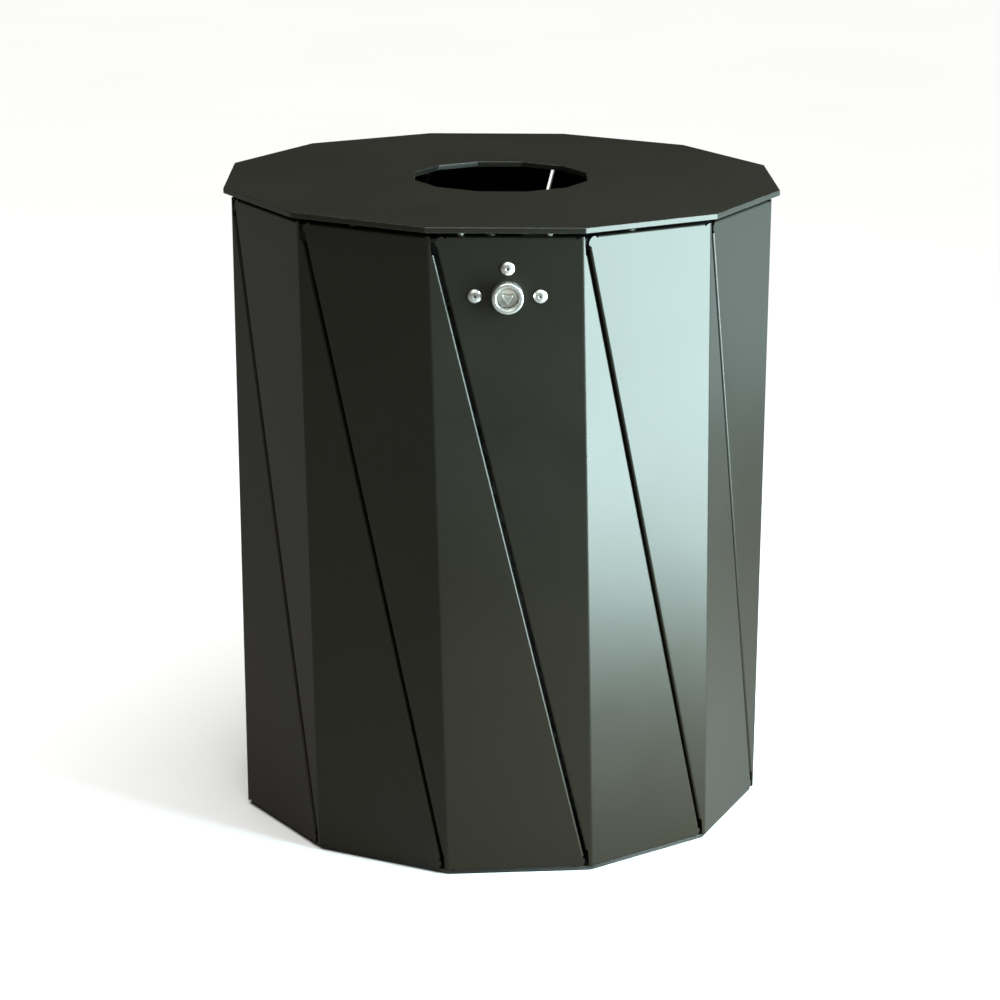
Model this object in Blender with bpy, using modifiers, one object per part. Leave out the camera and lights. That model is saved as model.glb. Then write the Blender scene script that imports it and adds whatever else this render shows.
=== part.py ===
"""Twelve-sided litter bin: a shell of twelve folded steel panels screwed round a welded frame, a flat lid with
an opening, a rear hinge and a quarter-turn lock, and a galvanised liner with two drop handles.

Metres, +Z up. The origin is the centre of the base plate's underside and the lock faces -Y."""

import math

import bmesh
import bpy
from mathutils import Euler, Matrix, Vector

# ---- Driving dimensions ----
SIDES = 12
SECTOR = math.radians(360 / SIDES)
TWIST = math.radians(4.15)  # the bottom outline is turned this far past the top one, so that the bends lean
SHELL_RADIUS = 0.250  # to the corners of the outside faces
SHELL_HEIGHT = 0.5716
SHEET = 0.002
SHADOW_GAP = 0.0041  # between the panels and the lid
LID_RADIUS = 0.2572
LID_THICKNESS = 0.005
OPENING_RADIUS = 0.0815
CLEARANCE = 0.0003  # between pieces that touch

# ---- Levels and distances that follow ----
APOTHEM = SHELL_RADIUS * math.cos(SECTOR / 2)
BASE_THICKNESS = 0.004
SHELL_BOTTOM = BASE_THICKNESS + CLEARANCE
SHELL_TOP = SHELL_BOTTOM + SHELL_HEIGHT
LID_BOTTOM = SHELL_TOP + SHADOW_GAP
RING_THICKNESS = 0.004
RING_TOP = SHELL_TOP - SHEET - CLEARANCE
FRAME_INSET = 0.003  # from the panels' outside to the edge of the ring and the base plate
FRAME_RADIUS = (APOTHEM - FRAME_INSET) / math.cos(SECTOR / 2)
LINER_PASSAGE_RADIUS = 0.2025
ANCHOR_CIRCLE = 0.120
ANCHOR_HOLE_RADIUS = 0.006
DRAIN_CIRCLE = 0.165
DRAIN_HOLE_RADIUS = 0.005

# ---- Panels ----
SLIT_TOP_OFFSET = 0.0029  # from the corner of the shell to the middle of the slit
SLIT_BOTTOM_OFFSET = 0.0039
SLIT_TOP_GAP = 0.0029
SLIT_BOTTOM_GAP = 0.0025
BEND_RADIUS = 0.003
FOLD_WEIGHT = 0.45  # the main bend's band on each face is this much of an edge bend's
SLIT_CORNER_RADIUS = 0.006
FLANGE_END = 0.004  # straight edge left between a flange and the next corner
LEVEL_FLANGE_DEPTH = 0.015
SLIT_FLANGE_DEPTH = 0.011
NARROW_END = 0.032  # unflanged length where the panel runs to a point

# ---- Lock ----
LOCK_X = 0.002
LOCK_DROP = 0.0505  # below the top of the shell
LOCK_Z = SHELL_TOP - LOCK_DROP
LOCK_RIVET_SPREAD = 0.0275  # from the lock's axis to the rivets at its sides
LOCK_RIVET_RISE = 0.0236  # and to the one above it
LOCK_RIVET_HEAD_RADIUS = 0.006
LOCK_HEAD_RADIUS = 0.0133
LOCK_HEAD_HEIGHT = 0.0120
LOCK_WELL_RADIUS = 0.0090
LOCK_WELL_FLOOR = 0.0040  # the driver's face stands in a round well in the head
LOCK_BODY_RADIUS = 0.008
LOCK_BODY_LENGTH = 0.015
LOCK_NUT_RADIUS = 0.0127
LOCK_NUT_THICKNESS = 0.004
LOCK_PLATE_THICKNESS = 0.003
KEY_RADIUS = 0.0058  # to the corners of the triangle
KEY_HEIGHT = 0.0055
CAM_DEPTH = 0.0175  # from the panel's outside to the front of the cam
CAM_THICKNESS = 0.003
CAM_LENGTH = 0.038
CAM_WIDTH = 0.014
SHAFT_RADIUS = 0.005
SHAFT_NECK_RADIUS = 0.0037
CAM_SCREW_RADIUS = 0.0015
CAM_SCREW_TIP = 0.0130
RIVET_SHANK_RADIUS = 0.0024

# ---- Catch under the lid ----
CATCH_WIDTH = 0.022
CATCH_X = 0.025
CATCH_THICKNESS = 0.003
CATCH_FLANGE = 0.024
CATCH_LIP = 0.0045
CATCH_SCREW_SPREAD = 0.006

# ---- Rear hinge ----
HINGE_WIDTH = 0.088
HINGE_BARREL_RADIUS = 0.0032
HINGE_PIN_RADIUS = 0.0018
HINGE_LEAF = 0.002
HINGE_DROP = 0.005  # from the lid's underside to the pin
HINGE_Y = APOTHEM + CLEARANCE + HINGE_BARREL_RADIUS
HINGE_Z = LID_BOTTOM - HINGE_DROP
HINGE_KNUCKLES = 5
HINGE_RIVET_X = (-0.036, -0.013, 0.013, 0.036)
HINGE_RIVET_DROP = 0.0165  # from the pin
HINGE_RIVET_HEAD_RADIUS = 0.0048
KNUCKLE_GAP = 0.0004
STOP_HEEL_REACH = 0.0047
STOP_HEEL_ANGLE = math.radians(50)
SHELL_LEAF_HEIGHT = 0.026
LID_LEAF_LENGTH = 0.041
LID_LEAF_TOP = LID_BOTTOM - CLEARANCE
SCREW_RADIUS = 0.002
SCREW_REACH = 0.0032  # into the lid
SCREW_HOLE_DEPTH = 0.0035

# ---- Posts, pads and liner ----
POST_SIDE = 0.020
POST_WALL = 0.002
POST_CENTRE = 0.2137
PAD_RADIUS = 0.003
PAD_CENTRE = 0.2345
LINER_RADIUS = 0.195
LINER_WALL = 0.0012
LINER_RIM_Z = 0.510
LINER_FLOOR_Z = 0.0172
RIM_BEAD_RADIUS = 0.0032
HANDLE_WIRE_RADIUS = 0.0025
HANDLE_X = 0.1805
HANDLE_Z = LINER_RIM_Z - 0.028
HANDLE_HALF_WIDTH = 0.0402
HANDLE_DROP = 0.042
HANDLE_CROOK = 0.003  # the bend from a handle's pin to its leg
HANDLE_BEND = 0.008
LUG_Y = 0.050
LUG_HALF_WIDTH = 0.006
LUG_HALF_HEIGHT = 0.007
LUG_DEPTH = 0.0055  # from the handle's pin towards the middle
LUG_ROOT = 0.1868  # inside the liner's wall at the lug's own width

QUARTER_TURN = math.pi / 2


# ---- Scene, collections, materials ----
for old in list(bpy.data.objects):
    bpy.data.objects.remove(old)

parts = bpy.data.collections.new("litter_bin")
cutters = bpy.data.collections.new("cutters")
bpy.context.scene.collection.children.link(parts)
bpy.context.scene.collection.children.link(cutters)


def finish_material(name, colour, roughness, metallic):
    material = bpy.data.materials.new(name)
    material.use_nodes = True
    shader = material.node_tree.nodes["Principled BSDF"]
    shader.inputs["Base Color"].default_value = (*colour, 1.0)
    shader.inputs["Roughness"].default_value = roughness
    shader.inputs["Metallic"].default_value = metallic
    return material


powder_coat = finish_material("powder_coat", (0.035, 0.038, 0.036), 0.42, 0.55)
frame_coat = finish_material("frame_coat", (0.030, 0.031, 0.030), 0.55, 0.3)
bright_zinc = finish_material("bright_zinc", (0.74, 0.74, 0.72), 0.28, 1.0)
galvanised = finish_material("galvanised", (0.56, 0.58, 0.59), 0.42, 1.0)
pale_nylon = finish_material("pale_nylon", (0.62, 0.62, 0.58), 0.5, 0.0)


# ---- Small builders ----
def place(name, mesh, material, location=(0, 0, 0), rotation=(0, 0, 0), collection=None):
    """One object in the bin's collection, or in the one given."""
    body = bpy.data.objects.new(name, mesh)
    body.location = location
    body.rotation_euler = rotation
    (collection or parts).objects.link(body)
    if material:
        mesh.materials.clear()
        mesh.materials.append(material)
    return body


def as_cutter(body):
    body.hide_render = True
    body.display_type = "WIRE"
    return body


def combine(body, operand, operation):
    boolean = body.modifiers.new(operand.name, "BOOLEAN")
    boolean.operation = operation
    boolean.object = operand
    return body


def smooth_round_faces(mesh, sharp_angle=35):
    mesh.shade_smooth()
    mesh.set_sharp_from_angle(angle=math.radians(sharp_angle))


def mesh_of(work, name):
    mesh = bpy.data.meshes.new(name)
    work.to_mesh(mesh)
    work.free()
    return mesh


def box_mesh(name, low, high):
    """An upright box between two corners."""
    work = bmesh.new()
    bmesh.ops.create_cube(work, size=1.0)
    size = Vector(high) - Vector(low)
    middle = (Vector(high) + Vector(low)) / 2
    work.transform(Matrix.Translation(middle) @ Matrix.Diagonal((*size, 1.0)))
    return mesh_of(work, name)


def box(name, low, high, material=None, collection=None):
    return place(name, box_mesh(name, low, high), material, collection=collection)


def rods(name, centres, radius, length, rotation=(0, 0, 0), segments=20):
    """Cutter: equal round rods, each centred on one of the places and lying along the turned Z axis."""
    turn = Euler(rotation).to_matrix().to_4x4()
    work = bmesh.new()
    for centre in centres:
        bmesh.ops.create_cone(
            work, cap_ends=True, segments=segments, radius1=radius, radius2=radius, depth=length,
            matrix=Matrix.Translation(centre) @ turn,
        )
    return as_cutter(place(name, mesh_of(work, name), None, collection=cutters))


def ring_points(count, radius, first_angle=0.0, centre=(0.0, 0.0)):
    return [
        (centre[0] + radius * math.cos(first_angle + math.tau * i / count),
         centre[1] + radius * math.sin(first_angle + math.tau * i / count))
        for i in range(count)
    ]


def flat_plate(name, outline, thickness, material, location, holes=(), rotation=(0, 0, 0), collection=None):
    """A flat sheet: a filled 2D curve given thickness, made a mesh with its caps welded on."""
    curve = bpy.data.curves.new(name, "CURVE")
    curve.dimensions = "2D"
    curve.fill_mode = "BOTH"
    curve.extrude = thickness / 2
    for loop in (outline, *holes):
        spline = curve.splines.new("POLY")
        spline.points.add(len(loop) - 1)
        for point, (x, y) in zip(spline.points, loop):
            point.co = (x, y, 0.0, 1.0)
        spline.use_cyclic_u = True
    drawn = place(name + "_drawn", curve, None)
    mesh = welded_mesh(drawn, name)
    return place(name, mesh, material, location, rotation, collection)


def welded_mesh(drawn, name):
    """The mesh of a curve object, closed, with the curve removed."""
    graph = bpy.context.evaluated_depsgraph_get()
    graph.update()
    mesh = bpy.data.meshes.new_from_object(drawn.evaluated_get(graph))
    mesh.name = name
    work = bmesh.new()
    work.from_mesh(mesh)
    bmesh.ops.remove_doubles(work, verts=work.verts, dist=1e-6)
    bmesh.ops.recalc_face_normals(work, faces=work.faces)
    work.to_mesh(mesh)
    work.free()
    bpy.data.objects.remove(drawn)
    return mesh


def turned(name, profile, steps, material, location=(0, 0, 0), rotation=(0, 0, 0), closed=False):
    """A turned piece: its half profile (radius, height), down the outer side, spun round Z."""
    work = bmesh.new()
    points = [work.verts.new((radius, 0.0, height)) for radius, height in profile]
    for first, second in zip(points, points[1:]):
        work.edges.new((first, second))
    if closed:
        work.edges.new((points[-1], points[0]))
    body = place(name, mesh_of(work, name), material, location, rotation)
    screw = body.modifiers.new("turn", "SCREW")
    screw.steps = steps
    screw.render_steps = steps
    screw.use_merge_vertices = True
    screw.merge_threshold = 1e-5
    screw.use_smooth_shade = True
    return body


def axis_empty(name, location):
    """The line that a group of moving pieces turns or slides on."""
    empty = bpy.data.objects.new(name, None)
    empty.location = location
    empty.empty_display_size = 0.03
    parts.objects.link(empty)
    return empty


def hang_on(empty, *bodies):
    for body in bodies:
        body.parent = empty
        body.matrix_parent_inverse = Matrix.Translation(-empty.location)


# ---- The shell's corners ----
def around(azimuth, radius, height):
    """A point at an azimuth counted from the front, -Y, towards +X."""
    return Vector((radius * math.sin(azimuth), -radius * math.cos(azimuth), height))


def top_corner(number):
    return around((number - 0.5) * SECTOR, SHELL_RADIUS, SHELL_TOP)


def bottom_corner(number):
    return around((number - 0.5) * SECTOR + TWIST, SHELL_RADIUS, SHELL_BOTTOM)


def front_face_y(height):
    """The front panel's outside, which leans in a little towards its foot."""
    lean = APOTHEM - SHELL_RADIUS * math.cos(SECTOR / 2 + TWIST)
    return -(APOTHEM - lean * (SHELL_TOP - height) / SHELL_HEIGHT)


# ---- Panels ----
def corner_arc(before, corner, after, radius, segments=5):
    """The points of a rounded corner, from the side of before to the side of after."""
    to_before = (before - corner).normalized()
    to_after = (after - corner).normalized()
    half = to_before.angle(to_after) / 2
    centre = corner + (to_before + to_after).normalized() * radius / math.sin(half)
    start = corner + to_before * radius / math.tan(half) - centre
    end = corner + to_after * radius / math.tan(half) - centre
    sweep = start.angle(end)
    return [
        centre + (start * math.sin(sweep * (1 - t)) + end * math.sin(sweep * t)) / math.sin(sweep)
        for t in (i / segments for i in range(segments + 1))
    ]


def along(start, end, distance):
    return start + (end - start).normalized() * distance


def panel_mesh():
    """The outside skin of the panel that starts at the front: the face that narrows downwards, the main bend,
    the face that narrows upwards, and four bent-in edges."""
    t0, t1 = top_corner(0), top_corner(1)
    b1, b2 = bottom_corner(1), bottom_corner(2)
    level_a = (t1 - t0).normalized()
    level_b = (b2 - b1).normalized()
    normal_a = level_a.cross(t1 - b1).normalized()
    normal_b = level_b.cross(t1 - b1).normalized()
    inward_a = Vector((0, 0, 1)).cross(level_a)
    inward_b = Vector((0, 0, 1)).cross(level_b)

    slit_top = t0 + level_a * (SLIT_TOP_OFFSET + SLIT_TOP_GAP / 2)
    point_a = b1 - level_a * (SLIT_BOTTOM_OFFSET - SLIT_BOTTOM_GAP / 2)
    point_b = t1 + level_b * (SLIT_TOP_OFFSET - SLIT_TOP_GAP / 2)
    slit_foot = b2 - level_b * (SLIT_BOTTOM_OFFSET + SLIT_BOTTOM_GAP / 2)

    arc_a = corner_arc(t1, slit_top, point_a, SLIT_CORNER_RADIUS)
    arc_b = corner_arc(b1, slit_foot, point_b, SLIT_CORNER_RADIUS)

    top_bend = (along(t1, t0, 2 * FLANGE_END), along(arc_a[0], t1, FLANGE_END))
    slit_bend_a = (along(arc_a[-1], point_a, FLANGE_END), along(point_a, slit_top, NARROW_END))
    foot_bend = (along(b1, b2, 2 * FLANGE_END), along(arc_b[0], b1, FLANGE_END))
    slit_bend_b = (along(arc_b[-1], point_b, FLANGE_END), along(point_b, slit_foot, NARROW_END))

    outline_a = [point_a, b1, t1, *top_bend, *arc_a, *slit_bend_a]
    outline_b = [t1, b1, *foot_bend, *arc_b, *slit_bend_b, point_b]

    work = bmesh.new()
    weight = work.edges.layers.float.new("bevel_weight_edge")
    made = {}

    def vertex(point):
        key = tuple(round(value, 7) for value in point)
        if key not in made:
            made[key] = work.verts.new(point)
        return made[key]

    def flange(bend, inward, depth):
        start, end = bend
        inset = (end - start).normalized() * depth / 2
        tips = (end + inward * depth - inset, start + inward * depth + inset)
        work.faces.new([vertex(point) for point in (end, start, tips[1], tips[0])])
        work.edges.get((vertex(start), vertex(end)))[weight] = 1.0

    work.faces.new([vertex(point) for point in outline_a])
    work.faces.new([vertex(point) for point in outline_b])
    flange(top_bend, inward_a, LEVEL_FLANGE_DEPTH)
    flange(slit_bend_a, -normal_a, SLIT_FLANGE_DEPTH)
    flange(foot_bend, inward_b, LEVEL_FLANGE_DEPTH)
    flange(slit_bend_b, -normal_b, SLIT_FLANGE_DEPTH)
    work.edges.get((vertex(t1), vertex(b1)))[weight] = FOLD_WEIGHT
    bmesh.ops.recalc_face_normals(work, faces=work.faces)
    return mesh_of(work, "panel")


def make_panels():
    mesh = panel_mesh()
    panels = []
    for number in range(SIDES):
        panel = place(f"panel_{number + 1:02d}", mesh, powder_coat, rotation=(0, 0, number * SECTOR))
        bends = panel.modifiers.new("bends", "BEVEL")
        bends.limit_method = "WEIGHT"
        bends.width = BEND_RADIUS
        bends.segments = 2
        bends.use_clamp_overlap = False
        sheet = panel.modifiers.new("sheet", "SOLIDIFY")
        sheet.thickness = SHEET
        sheet.offset = -1
        sheet.use_even_offset = True
        panels.append(panel)
    return panels


# ---- Frame ----
def make_frame():
    """The ring under the panels' top edges, the base plate under their feet, and four square tubes between."""
    ring = flat_plate(
        "top_ring", ring_points(SIDES, FRAME_RADIUS, SECTOR / 2), RING_THICKNESS, frame_coat,
        (0, 0, RING_TOP - RING_THICKNESS / 2), holes=[ring_points(48, LINER_PASSAGE_RADIUS)],
    )
    anchor_holes = [
        ring_points(16, ANCHOR_HOLE_RADIUS, centre=centre)
        for centre in ring_points(4, ANCHOR_CIRCLE, QUARTER_TURN / 2)
    ]
    drain_holes = [
        ring_points(12, DRAIN_HOLE_RADIUS, centre=centre)
        for centre in ring_points(4, DRAIN_CIRCLE)
    ]
    flat_plate(
        "base_plate", ring_points(SIDES, FRAME_RADIUS, SECTOR / 2 + TWIST), BASE_THICKNESS, frame_coat,
        (0, 0, BASE_THICKNESS / 2), holes=[*anchor_holes, *drain_holes],
    )
    post_low = BASE_THICKNESS + CLEARANCE
    post_high = RING_TOP - RING_THICKNESS - CLEARANCE
    square = ring_points(4, POST_SIDE / math.sqrt(2), QUARTER_TURN / 2)
    bore = ring_points(4, (POST_SIDE - 2 * POST_WALL) / math.sqrt(2), QUARTER_TURN / 2)
    for number in range(4):
        azimuth = (number + 0.5) * QUARTER_TURN
        flat_plate(
            f"post_{number + 1}", square, post_high - post_low, frame_coat,
            around(azimuth, POST_CENTRE, (post_high + post_low) / 2), holes=[bore], rotation=(0, 0, azimuth),
        )
    return ring


# ---- Lock ----
def make_lock(front_panel):
    """Turned pieces are drawn with Z out of the panel, then turned to face -Y."""
    face = Vector((LOCK_X, front_face_y(LOCK_Z), LOCK_Z))
    facing = (QUARTER_TURN, 0, 0)
    plate_front = SHEET + 2 * CLEARANCE
    plate_back = plate_front + LOCK_PLATE_THICKNESS
    nut_front = plate_back + CLEARANCE
    nut_back = nut_front + LOCK_NUT_THICKNESS
    bore = SHAFT_RADIUS + CLEARANCE

    housing_profile = [
        (0.0105, LOCK_HEAD_HEIGHT), (0.0125, LOCK_HEAD_HEIGHT), (LOCK_HEAD_RADIUS, LOCK_HEAD_HEIGHT - 0.0008),
        (LOCK_HEAD_RADIUS, CLEARANCE), (LOCK_BODY_RADIUS, CLEARANCE), (LOCK_BODY_RADIUS, -LOCK_BODY_LENGTH),
        (bore, -LOCK_BODY_LENGTH), (bore, LOCK_WELL_FLOOR), (LOCK_WELL_RADIUS, LOCK_WELL_FLOOR),
        (LOCK_WELL_RADIUS, LOCK_HEAD_HEIGHT - 0.0012),
    ]
    turned("lock_housing", housing_profile, 32, bright_zinc, face, facing, closed=True)

    shaft_end = CAM_DEPTH + CAM_THICKNESS - CLEARANCE
    dial_radius = LOCK_WELL_RADIUS - 0.0004
    dial_face = LOCK_WELL_FLOOR + 0.0020
    socket = CAM_SCREW_RADIUS + CLEARANCE
    socket_end = CAM_SCREW_TIP - 0.001
    driver_profile = [
        (0, dial_face), (dial_radius, dial_face), (dial_radius, LOCK_WELL_FLOOR + CLEARANCE),
        (SHAFT_RADIUS, LOCK_WELL_FLOOR + CLEARANCE), (SHAFT_RADIUS, CLEARANCE - CAM_DEPTH),
        (SHAFT_NECK_RADIUS, CLEARANCE - CAM_DEPTH), (SHAFT_NECK_RADIUS, -shaft_end), (socket, -shaft_end),
        (socket, -socket_end), (0, -socket_end),
    ]
    driver = turned("lock_driver", driver_profile, 24, bright_zinc, face, facing)
    key_middle = dial_face - 0.001 + KEY_HEIGHT / 2
    key_post = flat_plate(
        "key_post", ring_points(3, KEY_RADIUS, -QUARTER_TURN), KEY_HEIGHT, None,
        face - Vector((0, key_middle, 0)), rotation=facing, collection=cutters,
    )
    combine(driver, as_cutter(key_post), "UNION")

    def on_back(distance):
        return face + Vector((0, distance, 0))

    half_width = CAM_WIDTH / 2
    reach = CAM_LENGTH - half_width
    outline = [
        *[(half_width * math.cos(a), half_width * math.sin(a)) for a in fan(180, 360, 9)],
        *[(half_width * math.cos(a), reach + half_width * math.sin(a)) for a in fan(0, 180, 9)],
    ]
    cam = flat_plate(
        "lock_cam", outline, CAM_THICKNESS, bright_zinc, on_back(CAM_DEPTH + CAM_THICKNESS / 2),
        holes=[ring_points(24, SHAFT_NECK_RADIUS + CLEARANCE)], rotation=facing,
    )
    screw_top = CAM_DEPTH + CAM_THICKNESS + CLEARANCE
    screw_profile = [
        (0, -CAM_SCREW_TIP), (CAM_SCREW_RADIUS, -CAM_SCREW_TIP), (CAM_SCREW_RADIUS, -screw_top),
        (0.0055, -screw_top),
        (0.0055, -screw_top - 0.0020), (0.0040, -screw_top - 0.0030), (0, -screw_top - 0.0030),
    ]
    screw = turned("cam_screw", screw_profile, 20, bright_zinc, face, facing)

    flat_plate(
        "lock_nut", ring_points(6, LOCK_NUT_RADIUS), LOCK_NUT_THICKNESS, bright_zinc,
        on_back((nut_front + nut_back) / 2), holes=[ring_points(24, LOCK_BODY_RADIUS + CLEARANCE)],
        rotation=facing,
    )

    rivet_places = {
        "lock_rivet_top": (0, LOCK_RIVET_RISE),
        "lock_rivet_left": (-LOCK_RIVET_SPREAD, 0),
        "lock_rivet_right": (LOCK_RIVET_SPREAD, 0),
    }
    rivet_holes = [
        ring_points(16, RIVET_SHANK_RADIUS + CLEARANCE, 0.0, place_on_plate)
        for place_on_plate in rivet_places.values()
    ]
    side = LOCK_RIVET_SPREAD + 0.008
    top = LOCK_RIVET_RISE + 0.008
    plate_outline = [(-side, -0.018), (side, -0.018), (side, 0.013), (0.012, top), (-0.012, top), (-side, 0.013)]
    flat_plate(
        "lock_plate", plate_outline, LOCK_PLATE_THICKNESS, frame_coat, on_back((plate_front + plate_back) / 2),
        holes=[ring_points(24, LOCK_BODY_RADIUS + CLEARANCE), *rivet_holes], rotation=facing,
    )
    centres = []
    for name, (x, z) in rivet_places.items():
        seat = Vector((LOCK_X + x, front_face_y(LOCK_Z + z), LOCK_Z + z))
        blind_rivet(name, seat, facing, LOCK_RIVET_HEAD_RADIUS, face.y + plate_back - seat.y)
        centres.append(seat)

    rivet_bores = rods("lock_panel_holes", centres, RIVET_SHANK_RADIUS + CLEARANCE, 0.03, facing)
    body_bore = rods("lock_panel_bore", [face], LOCK_BODY_RADIUS + CLEARANCE, 0.03, facing, segments=32)
    for hole in (rivet_bores, body_bore):
        combine(front_panel, hole, "DIFFERENCE")

    hang_on(axis_empty("lock_axis", face), driver, cam, screw)


def fan(start_degrees, end_degrees, count):
    step = (end_degrees - start_degrees) / (count - 1)
    return [math.radians(start_degrees + step * i) for i in range(count)]


def blind_rivet(name, seat, rotation, head_radius, grip):
    """A round-headed blind rivet: its head on the seat, its swelled end past the grip."""
    crown = head_radius * 0.42
    head = [(head_radius * math.cos(a), CLEARANCE + crown * math.sin(a)) for a in fan(76, 0, 5)]
    profile = [
        (0, 0.0008), (head[0][0], 0.0008), *head, (RIVET_SHANK_RADIUS, CLEARANCE),
        (RIVET_SHANK_RADIUS, -grip - CLEARANCE), (0.0036, -grip - 0.0008), (0.0034, -grip - 0.0030),
        (0.0018, -grip - 0.0042), (0, -grip - 0.0042),
    ]
    turned(name, profile, 16, bright_zinc, seat, rotation)


# ---- Lid with its catch ----
def make_lid():
    lid = flat_plate(
        "lid", ring_points(SIDES, LID_RADIUS, SECTOR / 2), LID_THICKNESS, powder_coat,
        (0, 0, LID_BOTTOM + LID_THICKNESS / 2), holes=[ring_points(SIDES, OPENING_RADIUS, SECTOR / 2)],
    )
    catch_front = front_face_y(LOCK_Z) + CAM_DEPTH + CAM_THICKNESS + 0.001
    lip_top = LOCK_Z - CAM_WIDTH / 2 - 0.0008
    flange_top = LID_BOTTOM - CLEARANCE
    strip = [
        Vector((0, catch_front + CATCH_FLANGE, flange_top)), Vector((0, catch_front, flange_top)),
        Vector((0, catch_front, lip_top - CATCH_THICKNESS)),
        Vector((0, catch_front - CATCH_LIP, lip_top - CATCH_THICKNESS)),
    ]
    across = Vector((CATCH_WIDTH / 2, 0, 0))
    middle = Vector((CATCH_X, 0, 0))
    work = bmesh.new()
    left = [work.verts.new(middle + point - across) for point in strip]
    right = [work.verts.new(middle + point + across) for point in strip]
    for i in range(len(strip) - 1):
        work.faces.new((left[i], left[i + 1], right[i + 1], right[i]))
    catch = place("lid_catch", mesh_of(work, "lid_catch"), bright_zinc)
    sheet = catch.modifiers.new("sheet", "SOLIDIFY")
    sheet.thickness = CATCH_THICKNESS
    sheet.offset = -1
    sheet.use_even_offset = True

    screw_y = catch_front + 0.015
    screw_places = [
        Vector((CATCH_X + offset, screw_y, flange_top - CATCH_THICKNESS))
        for offset in (-CATCH_SCREW_SPREAD, CATCH_SCREW_SPREAD)
    ]
    combine(catch, rods("catch_holes", screw_places, SCREW_RADIUS + CLEARANCE, 0.012), "DIFFERENCE")
    screws = [lid_screw(f"catch_screw_{i + 1}", seat) for i, seat in enumerate(screw_places)]
    combine(lid, blind_holes("lid_catch_holes", screw_places), "DIFFERENCE")
    return lid, [catch, *screws]


def lid_screw(name, seat):
    """A low-headed screw up into the lid: its head hangs from the seat."""
    end = LID_BOTTOM + SCREW_REACH - seat.z
    profile = [
        (0, end), (SCREW_RADIUS, end), (SCREW_RADIUS, -CLEARANCE), (0.0042, -CLEARANCE), (0.0042, -0.0011),
        (0.0032, -0.0018), (0, -0.0018),
    ]
    return turned(name, profile, 16, bright_zinc, seat)


def blind_holes(name, seats):
    """Cutter: holes in the lid's underside that stop short of its top."""
    low = LID_BOTTOM - 0.002
    height = LID_BOTTOM + SCREW_HOLE_DEPTH - low
    centres = [Vector((seat.x, seat.y, low + height / 2)) for seat in seats]
    return rods(name, centres, SCREW_RADIUS + CLEARANCE, height, segments=16)


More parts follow.
